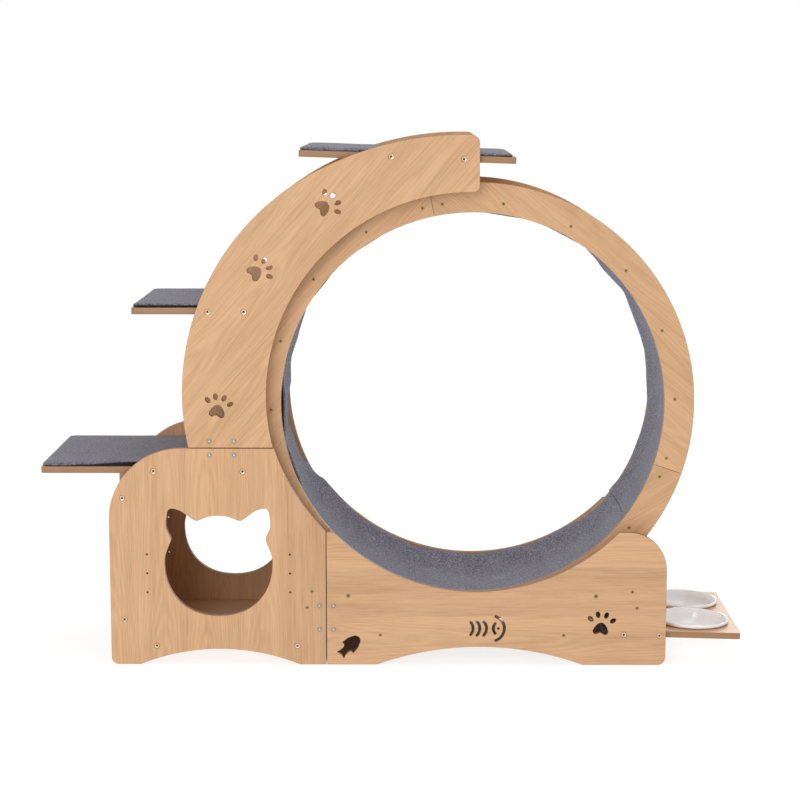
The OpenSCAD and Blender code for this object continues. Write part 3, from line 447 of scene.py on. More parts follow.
def backdrop(name):
    """White paper that glows evenly to stay white, except in three zones under the object where the glow fades out
    as painted shade.
    """
    s = Surface(name)
    look = settings().stage
    haze = s.noise(s.place(), 1.5, 2.0)
    colour = s.mix(s.between(haze, 0.3, 0.7, 0.0, 0.5), look.floor, [c * 0.985 for c in look.floor])
    low, high = CAD_BOX
    parts = s.split(s.place())
    fade = 0.04
    shade = 0.0
    # Painted shade, the glow taken out: between the two frames, and nearer to the front behind the fish and behind
    # the right end's small paw
    for spans in (
        (("X", low.x + 0.16, high.x - 0.18), ("Y", -0.03, high.y)),
        (("X", -0.205, -0.045), ("Y", low.y + 0.02, high.y)),
        (("X", high.x - 0.385, high.x - 0.18), ("Y", low.y + 0.02, high.y)),
    ):
        zone = 1.0
        for axis, start, end in spans:
            off = s.calc("ABSOLUTE", s.minus(parts[axis], (start + end) / 2))
            half = (end - start) / 2
            zone = s.times(zone, s.between(off, half - fade, half, 1.0, 0.0))
        shade = s.calc("MAXIMUM", shade, zone)
    return s.finish(
        Base_Color=colour,
        Roughness=0.9,
        Specular_IOR_Level=0.0,
        Emission_Color=(1.0, 1.0, 1.0),
        Emission_Strength=s.times(s.minus(1.0, shade), look.glow),
    )


def made(name, maker, *args, **kwargs):
    """The material of that name, made the first time it is asked for."""
    return bpy.data.materials.get(name) or maker(name, *args, **kwargs)


def plate(name):
    """One of the four platings: colour, other tone, roughness, rim colour, and recess colour (near black as
    painted shade, pale on zinc as a painted highlight).
    """
    metal = settings().metal
    looks = {
        "gilt_plate": (metal.gilt, (0.66, 0.55, 0.27), 0.22, (0.46, 0.24, 0.16), (0.07, 0.04, 0.03)),
        "yellow_zinc_plate": (metal.brass, (0.30, 0.17, 0.09), 0.34, (0.42, 0.32, 0.16), (0.05, 0.035, 0.02)),
        "zinc_plate": (metal.zinc, (0.30, 0.29, 0.27), 0.30, (0.42, 0.41, 0.39), (0.62, 0.61, 0.58)),
        "bearing_bronze": ((0.55, 0.36, 0.17), (0.45, 0.28, 0.13), 0.35, (0.6, 0.4, 0.2), (0.3, 0.2, 0.1)),
    }
    return made(name, plated, *looks[name])


# Shared steps


def placed(name, data):
    """A new object in the scene."""
    item = bpy.data.objects.new(name, data)
    bpy.context.scene.collection.objects.link(item)
    return item


def show(name, mesh, material, slot, *nodes):
    """Puts a finished mesh in the scene in place of CAD nodes, as a piece on their body."""
    piece = placed(name, mesh)
    mesh.materials.clear()
    mesh.materials.append(material)
    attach(piece, BODY_OF[nodes[0]])
    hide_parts(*nodes)
    return piece


def coords(mesh):
    """The mesh's points as rows of an array."""
    co = np.empty(len(mesh.vertices) * 3)
    mesh.vertices.foreach_get("co", co)
    return co.reshape(-1, 3)


def welded(node, reach):
    """A copy of a CAD node's mesh as a bmesh, with points closer than the reach joined."""
    bm = bmesh.new()
    bm.from_mesh(frame["nodes"][node].data)
    bmesh.ops.remove_doubles(bm, verts=bm.verts, dist=reach)
    return bm


def merged(node):
    """A mended copy of a CAD node's mesh as a bmesh: doubles merged and flat areas joined."""
    bm = welded(node, 1e-5)
    bmesh.ops.dissolve_limit(bm, angle_limit=math.radians(0.3), verts=bm.verts, edges=bm.edges)
    return bm


def mark_sharp(bm, degrees):
    """Shades the edges smooth up to that many degrees."""
    bm.normal_update()
    for edge in bm.edges:
        edge.smooth = edge.calc_face_angle(0.0) < math.radians(degrees)


def written(bm, name):
    """The bmesh as a mesh."""
    mesh = bpy.data.meshes.new(name)
    bm.to_mesh(mesh)
    bm.free()
    return mesh


def set_values(mesh, name, values, domain="FACE"):
    mesh.attributes.new(name, "FLOAT", domain).data.foreach_set("value", np.asarray(values, np.float32))


def dressed_board(node, flat_axis):
    """A board with softened edges, smooth curved walls and its cut edges marked.

    A panel, which lies flat to Y, is softened where its faces meet a wall, others at their steep corners.
    """
    bm = merged(node)
    edges = []
    for edge in bm.edges:
        if len(edge.link_faces) != 2:
            continue
        a, b = (face.normal for face in edge.link_faces)
        if flat_axis == 1:
            wall, flat = sorted((abs(a[flat_axis]), abs(b[flat_axis])))
            soften = flat > 0.99 and wall < 0.1
        else:
            soften = a.angle(b, 0.0) > 1.2 and edge.calc_length() > 0.001
        if soften:
            edges.append(edge)
    how = {"offset_type": "OFFSET", "affect": "EDGES", "clamp_overlap": False}
    bmesh.ops.bevel(bm, geom=edges, offset=settings().wood.round, segments=2, profile=0.5, **how)
    mark_sharp(bm, 50)
    walls = []
    for face in bm.faces:
        flat = abs(face.normal[flat_axis])
        face.smooth = flat < 0.999
        walls.append(min(1.0, max(0.0, (0.9 - flat) / 0.4)))
    mesh = written(bm, node)
    set_values(mesh, "cut", walls)
    return mesh


def dress(node, flat_axis, material, slot):
    """Shows a board with its edges softened."""
    name = node.removesuffix("_panel") + "_board"
    show(name, dressed_board(node, flat_axis), material, slot, node)


def islands(node):
    """The separate solids of a CAD node, as (lowest corner, highest corner) pairs in a fixed order."""
    bm = welded(node, 1e-6)
    seen, found = set(), []
    for start in bm.verts:
        if start in seen:
            continue
        seen.add(start)
        todo, points = [start], []
        while todo:
            vert = todo.pop()
            points.append(vert.co.copy())
            for edge in vert.link_edges:
                other = edge.other_vert(vert)
                if other not in seen:
                    seen.add(other)
                    todo.append(other)
        co = np.array(points)
        found.append((Vector(co.min(0)), Vector(co.max(0))))
    bm.free()
    return sorted(found, key=lambda b: (round(b[0].y, 4), round(b[0].x, 4), round(b[0].z, 4)))


def bridge(bm, rings):
    """Makes the faces between each ring of points and the next. A pole is a ring of one point repeated."""
    for low, high in zip(rings, rings[1:]):
        for i in range(len(low)):
            corners = list(dict.fromkeys((low[i - 1], low[i], high[i], high[i - 1])))
            if len(corners) > 2:
                bm.faces.new(corners)
    bmesh.ops.recalc_face_normals(bm, faces=bm.faces)


def lathed(profile, sides, closed=False):
    """A mesh from a profile of (radius, height) points turned round the Z axis, with its poles closed."""
    bm = bmesh.new()
    turns = [2 * math.pi * i / sides for i in range(sides)]
    rings = []
    for radius, height in profile:
        if radius < 1e-7:
            rings.append([bm.verts.new((0.0, 0.0, height))] * sides)
        else:
            rings.append([bm.verts.new((radius * math.cos(t), radius * math.sin(t), height)) for t in turns])
    bridge(bm, rings + rings[:1] if closed else rings)
    return bm


def into_mesh(bm, name, sharp=40.0):
    """The bmesh as a mesh, shaded smooth apart from corners sharper than that many degrees."""
    mark_sharp(bm, sharp)
    for face in bm.faces:
        face.smooth = True
    return written(bm, name)


def rounded(points, radius, steps=3):
    """A profile with its inner corners rounded by arcs through a few points."""
    out = [points[0]]
    for before, at, after in zip(points, points[1:], points[2:]):
        a, b, c = Vector(before), Vector(at), Vector(after)
        reach = min(radius, (a - b).length / 2, (c - b).length / 2)
        start, end = b + (a - b).normalized() * reach, b + (c - b).normalized() * reach
        for i in range(steps + 1):
            k = i / steps
            out.append(tuple((1 - k) ** 2 * start + 2 * k * (1 - k) * b + k * k * end))
    out.append(points[-1])
    return out


def eased(k):
    """A share from 0 to 1 that leaves and arrives gently."""
    return k * k * (3 - 2 * k)


def baked(holder, name):
    """Turns the holder's evaluated modifier into a plain mesh and removes the holder."""
    graph = bpy.context.evaluated_depsgraph_get()
    mesh = bpy.data.meshes.new_from_object(holder.evaluated_get(graph), depsgraph=graph)
    mesh.name = name
    holder.modifiers.clear()
    old = holder.data
    bpy.data.objects.remove(holder)
    bpy.data.meshes.remove(old)
    return mesh


def grown(holder, tree, inputs, name):
    """The mesh that a Geometry Nodes tree makes of the holder, its inputs set by their identifiers."""
    modifier = holder.modifiers.new(tree.name, "NODES")
    modifier.node_group = tree
    for item in tree.interface.items_tree:
        if item.item_type == "SOCKET" and item.in_out == "INPUT" and item.name in inputs:
            modifier[item.identifier] = inputs.pop(item.name)
    if inputs:
        raise RuntimeError(f"the node tree has no input named {', '.join(inputs)}")
    return baked(holder, name)


class Flow(Tree):
    """A new Geometry Nodes tree, with inputs by their labels and kinds of socket."""

    def __init__(self, name, inputs):
        super().__init__(bpy.data.node_groups.new(name, "GeometryNodeTree"))
        face = self.tree.interface
        for label, kind in {"Geometry": "Geometry", **inputs, "Material": "Material"}.items():
            face.new_socket(label, in_out="INPUT", socket_type="NodeSocket" + kind)
        face.new_socket("Geometry", in_out="OUTPUT", socket_type="NodeSocketGeometry")
        self.given = self.add("NodeGroupInput").outputs

    def chance(self):
        """A number from 0 to 1 drawn for each place."""
        draw = self.add("FunctionNodeRandomValue", {"data_type": "FLOAT"}, Seed=self.given["Seed"])
        return next(o for o in draw.outputs if o.enabled and o.type == "VALUE")

    def close(self, shape, points, rotation, tone):
        """Sets the shape on each point with its tone, then ends in Realize Instances and Set Material."""
        whole = self.out("GeometryNodeInstanceOnPoints", Points=points, Instance=shape, Rotation=rotation)
        kinds = {"data_type": "FLOAT", "domain": "INSTANCE"}
        whole = self.out("GeometryNodeStoreNamedAttribute", kinds, Geometry=whole, Name="tone", Value=tone)
        whole = self.out("GeometryNodeRealizeInstances", Geometry=whole)
        whole = self.out("GeometryNodeSetMaterial", Geometry=whole, Material=self.given["Material"])
        self.add("NodeGroupOutput", Geometry=whole)
        return self.tree


def fastener_tree():
    """Sets one fastener on each place, turned by chance about its own axis."""
    ready = bpy.data.node_groups.get("Fasteners")
    if ready:
        return ready
    flow = Flow("Fasteners", {"Fastener": "Object", "Seed": "Int"})
    stored = flow.add("GeometryNodeInputNamedAttribute", {"data_type": "FLOAT_VECTOR"}, Name="facing")
    aim = flow.out("FunctionNodeAlignRotationToVector", {"axis": "Z"}, Vector=stored.outputs["Attribute"])
    share = flow.chance()
    spin = flow.out("FunctionNodeAxisAngleToRotation", Angle=flow.times(share, 2 * math.pi))
    turned = flow.out("FunctionNodeRotateRotation", {"rotation_space": "LOCAL"}, i0=aim, i1=spin)
    shape = flow.add("GeometryNodeObjectInfo", Object=flow.given["Fastener"]).outputs["Geometry"]
    return flow.close(shape, flow.given["Geometry"], turned, share)


def fasteners(name, node, mesh, material, slot, number, sunk=0.0):
    """Repeats a fastener's mesh, drawn along +Z, at the places of a CAD node's solids.

    number sets the group's own turns. sunk is how deep the heads lie under the solids' outer ends.
    """
    places, facings = [], []
    for low, high in islands(node):
        middle = (low + high) / 2
        inward = 1.0 if middle.y < WHEEL_AXIS.y else -1.0
        face = low.y if inward > 0 else high.y
        places.append((middle.x, face + inward * sunk, middle.z))
        facings.append((0.0, inward, 0.0))
    points = bpy.data.meshes.new(name)
    points.from_pydata(places, [], [])
    points.attributes.new("facing", "FLOAT_VECTOR", "POINT").data.foreach_set("vector", np.ravel(facings))
    holder, sample = placed(name, points), placed(name + "_sample", mesh)
    inputs = {"Fastener": sample, "Seed": settings().metal.seed + number, "Material": material}
    result = grown(holder, fastener_tree(), inputs, name)
    bpy.data.objects.remove(sample)
    bpy.data.meshes.remove(mesh)
    show(name, result, material, slot, node)


def mark_head(mesh, rim_r, pit_r, pit_z, head_h):
    """Marks the rim and the recess of a fastener's head for their own colours in its material; the recess colour
    is painted shade, or a painted highlight on zinc.
    """
    rims, pits = [], []
    for face in mesh.polygons:
        out = math.hypot(face.center.x, face.center.y)
        rims.append(1.0 if out > rim_r and face.center.z < head_h * 0.4 else 0.0)
        pits.append(1.0 if out < pit_r and face.center.z > pit_z else 0.0)
    set_values(mesh, "rim", rims)
    set_values(mesh, "recess", pits)


def cross_recessed(head_d, head_h, shank_d, length, sides):
    """A countersunk screw with a tapered cross recess, its head's face at z = 0."""
    metal = settings().metal
    r, lip = head_d / 2 - metal.gap, 0.0003
    # The head is dished a little inside a raised rim
    profile = [(0.0, 0.0001), (r * 0.66, 0.0002), (r * 0.74, 0.0), (r - lip, 0.0), (r, lip)]
    profile += [(shank_d / 2, head_h), (shank_d / 2, length - shank_d), (0.0, length)]
    screw = placed("screw", into_mesh(lathed(profile, sides), "screw"))
    half, deep, width = head_d * 0.25, head_h * 0.6, metal.recess * head_d / 0.024
    over, wide_end, narrow_end = 0.001, 1.12, 0.45
    bm = bmesh.new()
    for turn in (0.0, math.pi / 2):
        rings = []
        for height, share in ((-over, wide_end), (deep, narrow_end)):
            ring = []
            for x, y in ((half, width), (-half, width), (-half, -width), (half, -width)):
                corner = Vector((x * share, y * (0.6 + 0.4 * share), height))
                ring.append(bm.verts.new(Matrix.Rotation(turn, 3, "Z") @ corner))
            rings.append(ring)
            bm.faces.new(ring)
        bridge(bm, rings)
    cutter = placed("cutter", into_mesh(bm, "cutter"))
    cut = screw.modifiers.new("Recess", "BOOLEAN")
    cut.object, cut.operation, cut.solver, cut.use_self = cutter, "DIFFERENCE", "EXACT", True
    mesh = baked(screw, "screw")
    mesh.materials.clear()
    bpy.data.objects.remove(cutter)
    mark_head(mesh, r * 0.70, head_d * 0.4, 0.0003, head_h)
    return mesh


# Pieces


class CATWHEEL_OT_panels(bpy.types.Operator):
    """Dress the house, base and arch panels of both frames"""

    bl_idname = "catwheel.panels"
    bl_label = "Frame panels"

    def execute(self, context):
        for part, lean in PANEL_LEANS.items():
            material = made(part + "_beech", laminate, turn=math.radians(lean), seed=lean / 31)
            for side in ("front", "back"):
                dress(f"{side}_{part}_panel", 1, material, "beech_panel")
        return {"FINISHED"}


class CATWHEEL_OT_boards(bpy.types.Operator):
    """Dress the shelves, the house boards, the stretchers and the rails"""

    bl_idname = "catwheel.boards"
    bl_label = "Inner boards"

    def execute(self, context):
        shelf = made("shelf_beech", laminate, "XYZ", seed=0.4)
        # The cross boards take a darker copy of the beech, painted shade for boards deep inside the frames and the
        # house
        cross = made("cross_beech", laminate, "YZX", seed=0.7, gain=0.70)
        # The feeding shelf's hidden end is painted near black, as painted shade seen through the small paw before
        # it
        feeding = made("feeding_shelf_beech", laminate, "XYZ", seed=0.4, stain=(0.550, 0.570))
        for node in SHELVES:
            dress(node, 2, feeding if node == "bowl_shelf" else shelf, "beech_board")
        for node in CROSS_BOARDS:
            dress(node, 0, cross, "beech_board")
        return {"FINISHED"}


class CATWHEEL_OT_rings(bpy.types.Operator):
    """Dress the six segments of the wheel's side rings, each with its own grain"""

    bl_idname = "catwheel.rings"
    bl_label = "Side rings"

    def execute(self, context):
        for side in ("front", "back"):
            for k, lean in enumerate(RING_LEANS, 1):
                material = made(f"ring_beech_{k}", laminate, turn=math.radians(lean), seed=0.31 * k)
                dress(f"{side}_ring_segment_{k}", 1, material, "beech_panel")
        return {"FINISHED"}


def slat_tree():
    """A ring of slats: a filleted trapezoid drawn out along Y, set round the axis."""
    lengths = ("Track radius", "Slat thickness", "Slat gap", "Slat length", "Slat rounding")
    kinds = {"Slats": "Int", "First slat": "Float", **dict.fromkeys(lengths, "Float"), "Axis": "Vector"}
    flow = Flow("Slats", {**kinds, "Seed": "Int"})
    radius, thickness, gap, length, rounding = (flow.given[name] for name in lengths)
    count = flow.given["Slats"]
    step = flow.over(2 * math.pi, count)
    slope = flow.calc("TANGENT", flow.over(step, 2.0))
    sides = {"Height": thickness, "Offset": 0.0}
    for label, reach in (("Bottom_Width", radius), ("Top_Width", flow.plus(radius, thickness))):
        sides[label] = flow.minus(flow.times(flow.times(reach, slope), 2.0), gap)
    section = flow.out("GeometryNodeCurvePrimitiveQuadrilateral", {"mode": "TRAPEZOID"}, **sides)
    section = flow.out("GeometryNodeFilletCurve", {"mode": "POLY"}, Curve=section, Count=2, Radius=rounding)
    face = flow.out("GeometryNodeFillCurve", {"mode": "NGONS"}, Curve=section)
    lift = flow.join(z=length)
    drawn = flow.out("GeometryNodeExtrudeMesh", {"mode": "FACES"}, Mesh=face, Offset=lift, Individual=False)
    foot = flow.out("GeometryNodeFlipFaces", Mesh=face)
    solid = flow.add("GeometryNodeJoinGeometry", Geometry=foot)
    flow.put(solid.inputs[0], drawn)
    solid = flow.out("GeometryNodeMergeByDistance", Geometry=solid.outputs[0], Distance=1e-5)
    middle = flow.join(z=flow.times(length, -0.5))
    outward = flow.join(x=flow.plus(radius, flow.over(thickness, 2.0)))
    # Centred, laid along Y, then turned to face the axis and moved out to the track
    for move in (
        {"Translation": middle},
        {"Rotation": (math.pi / 2, 0.0, 0.0)},
        {"Rotation": (0.0, math.pi / 2, 0.0), "Translation": outward},
    ):
        solid = flow.out("GeometryNodeTransform", Geometry=solid, **move)
    points = flow.out("GeometryNodePoints", Count=count, Position=flow.given["Axis"])
    turn = flow.plus(flow.times(flow.out("GeometryNodeInputIndex"), step), flow.given["First slat"])
    spin = flow.out("FunctionNodeEulerToRotation", i0=flow.join(y=flow.times(turn, -1.0)))
    return flow.close(solid, points, spin, flow.chance())


class CATWHEEL_OT_track(bpy.types.Operator):
    """Make the ring of slats that carries the mat"""

    bl_idname = "catwheel.track"
    bl_label = "Track slats"

    def execute(self, context):
        look = settings().track
        nodes = sorted(n for n in frame["nodes"] if n.startswith("track_slat_"))
        low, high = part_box(nodes[0])
        material = made("slat_beech", laminate, "YZX", seed=0.9, tone=True)
        inputs = {
            "Slats": look.count,
            "First slat": look.turn,
            "Track radius": look.radius,
            "Slat thickness": look.thickness,
            "Slat gap": look.gap,
            "Slat length": high.y - low.y,
            "Slat rounding": look.round,
            "Axis": WHEEL_AXIS,
            "Seed": look.seed,
            "Material": material,
        }
        holder = placed("slats", bpy.data.meshes.new("slats"))
        mesh = grown(holder, slat_tree(), inputs, "track_slats")
        show("track_slats", mesh, material, "beech_board", *nodes)
        return {"FINISHED"}


# Where the running mat's ends meet, in degrees from the X axis
MAT_START = -37.0
# How the mat stands in from the slats: direction from the axis in degrees, then the lift of its far edge
# and of its near edge in millimetres
MAT_LIFTS = [
    (-37, 19, 10), (-30, 17, 6), (-12, 16, 4), (5, 19, 4), (11.5, 22, 3),
    (17, 19.5, 2), (32, 18.5, 3), (40, 21.5, 5), (46, 18.5, 7), (60, 20, 14),
    (75, 20, 15.5), (90, 16, 14.5), (103, 10, 9), (112, 4, 13.5), (126, 3, 14),
    (132, 3, 9), (139, 5, 14), (150, 14, 13), (158, 16.5, 8), (166, 18, 15),
    (178, 17.5, 22), (184, 8, 21), (192, 5, 18), (203, 3, 17), (208, 17, 12),
    (214, 31, 8), (222, 31.5, 3), (235, 33, 1), (252, 34, 2), (262, 33.5, 1),
    (270, 34, 1), (277, 32, 1), (285, 32.5, 2), (300, 28.5, 1), (312, 20, 3),
    (318, 12.5, 6), (323, 12.5, 6),
]


def mat_lift(turn, side):
    """How far the mat stands in from the slats. side runs from 0 at the near edge to 1 at the far one."""
    turn = (turn - MAT_START) % 360.0 + MAT_START
    for (before, *first), (after, *last) in zip(MAT_LIFTS, MAT_LIFTS[1:]):
        if turn <= after:
            k = eased((turn - before) / (after - before))
            far, near = ((a + (b - a) * k) / 1000 for a, b in zip(first, last))
            break
    curl = max(0.0, (side - 0.55) / 0.45)
    return far * curl * curl + near * (1 - side) ** 3


class CATWHEEL_OT_mat(bpy.types.Operator):
    """Lay the felt running mat on the slats, with its waves and its overlapping ends"""

    bl_idname = "catwheel.mat"
    bl_label = "Running mat"

    def execute(self, context):
        look, track = settings().felt, settings().track
        low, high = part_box("running_mat")
        width = high.y - low.y
        step = 360.0 / track.count
        columns, rows = 540, 36
        # The two ends all but meet, one lifted over the other
        start, sweep = MAT_START + 0.01, 360.0 - 0.24
        # How far the mat follows a corner between two slats, its play, and the width of its worn edges
        follows, play, worn = 0.85, 0.0006, 0.0025
        waves, dips, fuzz = 0.0015, 0.0011, 0.00035
        bm = bmesh.new()
        layers = []
        for depth in (0.0, look.mat_thickness):
            layer = []
            for i in range(columns + 1):
                turn = start + sweep * i / columns
                a = math.radians(turn)
                off = (turn - math.degrees(track.turn) + step / 2) % step - step / 2
                flat = 1.0 + (1.0 / math.cos(math.radians(off)) - 1.0) * follows
                wave = noise.noise(Vector((turn * 0.06, 7.0, 0.0))) * waves
                line = []
                for j in range(rows + 1):
                    side = j / rows
                    y = low.y + width * side
                    inner = (track.radius - play) * flat - mat_lift(turn, side) - depth
                    inner -= abs(noise.noise(Vector((turn * 0.13, side * 4.0, 3.0))) * dips)
                    inner += noise.noise(Vector((turn * 2.1, y * 170.0, depth * 300))) * fuzz
                    edge = min(side, 1 - side) * width
                    if depth and edge < worn:
                        inner += (worn - edge) * 0.8
                    x, z = WHEEL_AXIS.x + inner * math.cos(a), WHEEL_AXIS.z + inner * math.sin(a)
                    line.append(bm.verts.new((x, y + wave * (1 - 2 * side), z)))
                layer.append(line)
            layers.append(layer)
        under, upper = layers
        for line, above in ((under[0], upper[0]), (under[-1], upper[-1])):
            for j in range(rows):
                bm.faces.new((line[j], line[j + 1], above[j + 1], above[j]))
        bridge(bm, [above + line[::-1] for line, above in zip(under, upper)])
        cloth = made("felt_mat", felt, gain=1.24)
        mat = show("felt_mat", into_mesh(bm, "felt_mat", 60.0), cloth, "felt", "running_mat")
        return {"FINISHED"}


def swollen(node, name, limit):
    """A pad's mesh after a short pressure simulation, its moves capped and its underside kept flat."""
    bm = merged(node)
    low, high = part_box(node)
    middle = (low + high) / 2
    # Drawn in a little from the CAD pad's sides before the remesh
    inset, voxel, frames = 0.0012, 0.005, 20
    for vert in bm.verts:
        for axis in (0, 1):
            off = vert.co[axis] - middle[axis]
            vert.co[axis] = middle[axis] + off * (1 - inset / (high[axis] - low[axis]))
    pad = placed(name, written(bm, name))
    remesh = pad.modifiers.new("Remesh", "REMESH")
    remesh.mode, remesh.voxel_size = "VOXEL", voxel
    mesh = baked(pad, name)
    start = coords(mesh)
    pad = placed(name, mesh.copy())
    cloth = pad.modifiers.new("Cloth", "CLOTH")
    how = {"quality": 4, "mass": 0.2, "use_pressure": True, "uniform_pressure_force": 4.0}
    for key, value in how.items():
        setattr(cloth.settings, key, value)
    cloth.settings.effector_weights.gravity = 0.0
    cloth.point_cache.frame_start, cloth.point_cache.frame_end = 1, frames
    for step in range(frames):
        bpy.context.scene.frame_set(1 + step)
    swell = baked(pad, name)
    bpy.context.scene.frame_set(1)
    move = coords(swell) - start
    bpy.data.meshes.remove(swell)
    size = np.linalg.norm(move, axis=1, keepdims=True)
    move *= np.minimum(1.0, limit / np.maximum(size, 1e-9))
    move[:, :2] *= 0.35
    move[:, 2] = np.clip(move[:, 2], 0.0, None)
    start = start + move
    mesh.vertices.foreach_set("co", start.ravel())
    smooth = placed(name, mesh)
    fine = smooth.modifiers.new("Subdivision", "SUBSURF")
    fine.levels = fine.render_levels = 1
    return baked(smooth, name)


class CATWHEEL_OT_pads(bpy.types.Operator):
    """Make the felt pads of the three shelves"""

    bl_idname = "catwheel.pads"
    bl_label = "Shelf pads"

    def execute(self, context):
        material = made("felt_pad", felt)
        skin = 0.004  # The height over which the flat underside gives way to the felt's own shape
        for node in ("lower_shelf_pad", "mid_shelf_pad", "top_shelf_pad"):
            mesh = swollen(node, node[:-4] + "_felt", settings().felt.swell)
            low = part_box(node)[0]
            co = coords(mesh)
            for p in co:
                above = min(1.0, max(0.0, (p[2] - low.z) / skin))
                rough = noise.noise(Vector(p) * 210.0) * 0.0003 + noise.noise(Vector(p) * 14.0) * 0.0007
                p[2] += above * rough
            height = co[:, 2] - low.z
            # The pad reaches the shelf's left end, and stands a little proud at the front
            end, front = 0.06, np.clip((low.y + 0.035 - co[:, 1]) / 0.035, 0, 1)
            co[:, 0] -= 0.007 * np.clip((low.x + end - co[:, 0]) / end, 0, 1)
            co[:, 1] -= 0.002 * front
            # The felt lifts while its foot stays on the shelf, and a band at the foot is near black: partly a dark
            # backing, partly painted shade in the gap under the lifted felt, on the lower pad most of all near the
            # wheel
            backing, lift = 0.0034, 0.0
            if node == "mid_shelf_pad":
                backing, lift = 0.0038, 0.003 * front * front
            if node == "lower_shelf_pad":
                along = np.clip((co[:, 0] + 0.785) / 0.20, 0, 1)
                inwards = np.clip((-0.105 - co[:, 1]) / 0.095, 0, 1)
                backing = 0.0024 + 0.0036 * along
                lift = 0.0005 + 0.006 * eased(along) * inwards * inwards
            co[:, 2] += lift * np.clip(height / skin, 0, 1)
            blur = 0.0008
            set_values(mesh, "backing", np.clip((backing + blur / 2 - height) / blur, 0, 1), "POINT")
            mesh.vertices.foreach_set("co", co.ravel())
            mesh.update()
            for face in mesh.polygons:
                face.use_smooth = True
            pad = show(mesh.name, mesh, material, "felt", node)
        return {"FINISHED"}


class CATWHEEL_OT_screws(bpy.types.Operator):
    """Set the long screws, the small screws and the ring screws"""

    bl_idname = "catwheel.screws"
    bl_label = "Screws"

    def execute(self, context):
        low, high = islands("roller_axles")[0]
        brass = ("yellow_zinc_plate", "yellow_zinc")
        # Name, CAD node, plating and slot, then the head's width and height, shank, length and sides
        groups = (
            ("long_screws", "board_screws", ("gilt_plate", "gilt_screw"), (0.0156, 0.004, 0.0064, 0.05, 32)),
            ("small_screws", "stretcher_and_rail_screws", brass, (0.008, 0.0026, 0.004, 0.04, 24)),
            ("ring_wood_screws", "ring_screws", brass, (0.008, 0.0026, 0.004, 0.04, 20)),
            ("axle_bolts", "roller_axles", brass, (0.010, 0.003, 0.006, high.y - low.y, 32)),
        )
        for number, (name, node, (finish, slot), sizes) in enumerate(groups):
            proud = 0.0004 if node == "board_screws" else 0.0
            fasteners(name, node, cross_recessed(*sizes), plate(finish), slot, number, -proud)
        return {"FINISHED"}


class CATWHEEL_OT_splices(bpy.types.Operator):
    """Set the splice plates with their bolts and nuts"""

    bl_idname = "catwheel.splices"
    bl_label = "Splices"

    def execute(self, context):
        zinc = plate("zinc_plate")
        low, high = islands("splice_bolts")[0]
        length = high.y - low.y
        head_r, head_h, shank_r = 0.00525, 0.0025, 0.0025
        # A domed head with a shallow round socket
        profile = [(0.0, 0.0015), (0.0020, 0.0015), (0.0021, 0.0001), (0.0024, 0.0), (0.0037, 0.0001)]
        profile += [(0.0046, 0.0005), (0.0051, 0.0010), (head_r, 0.0016), (head_r, head_h), (shank_r, head_h)]
        profile += [(shank_r, length - 0.0006), (0.0019, length), (0.0, length)]
        bolt = into_mesh(lathed(profile, 28), "bolt", 30.0)
        mark_head(bolt, 0.0044, 0.0022, 0.0001, head_h)
        fasteners("cap_bolts", "splice_bolts", bolt, zinc, "zinc", 4)
        # A hexagon nut of 8 mm across its flats
        corner, bore, tall, chamfer = 0.008 / math.sqrt(3), 0.0025, 0.004, 0.0004
        profile = [(bore, 0.0), (corner - chamfer, 0.0), (corner, chamfer), (corner, tall - chamfer)]
        profile += [(corner - chamfer, tall), (bore, tall)]
        nut = into_mesh(lathed(profile, 6, True), "nut", 25.0)
        fasteners("splice_hex_nuts", "splice_nuts", nut, zinc, "zinc", 5)
        show("splice_zinc_plates", dressed_board("splice_plates", 1), zinc, "zinc", "splice_plates")
        return {"FINISHED"}


class CATWHEEL_OT_rollers(bpy.types.Operator):
    """Make the four grooved rollers and finish their bushes, spacers and nuts"""

    bl_idname = "catwheel.rollers"
    bl_label = "Rollers"

    def execute(self, context):
        black = made("black_nylon", nylon, (0.030, 0.030, 0.034))
        bore, hub, dish = 0.00555, 0.0095, 0.0012
        for node in sorted(n for n in frame["nodes"] if n.startswith("roller_") and BODY_OF.get(n) == n):
            low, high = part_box(node)
            half, outer = (high.y - low.y) / 2, (high.x - low.x) / 2
            groove, tread = half - 0.004, outer - 0.006
            # One end from the bore to the groove, and the same end mirrored
            end = [(bore, half), (hub, half), (hub + dish, half - dish), (outer - 0.0035, half - dish)]
            end += [(outer - 0.0025, half), (outer, half), (outer, groove + 0.002), (tread, groove)]
            profile = [(radius, -height) for radius, height in end] + end[::-1]
            bm = lathed(rounded(profile, 0.0007), 64, True)
            bm.transform(Matrix.Translation((low + high) / 2) @ Matrix.Rotation(math.pi / 2, 4, "X"))
            mesh = into_mesh(bm, node + "_nylon", 35.0)
            show(mesh.name, mesh, black, "roller", node)
        for node in ("axle_spacers", "axle_nuts", "roller_bushes"):
            material = plate("bearing_bronze" if node == "roller_bushes" else "zinc_plate")
            for slot in frame["nodes"][node].material_slots:
                slot.material = material
        return {"FINISHED"}


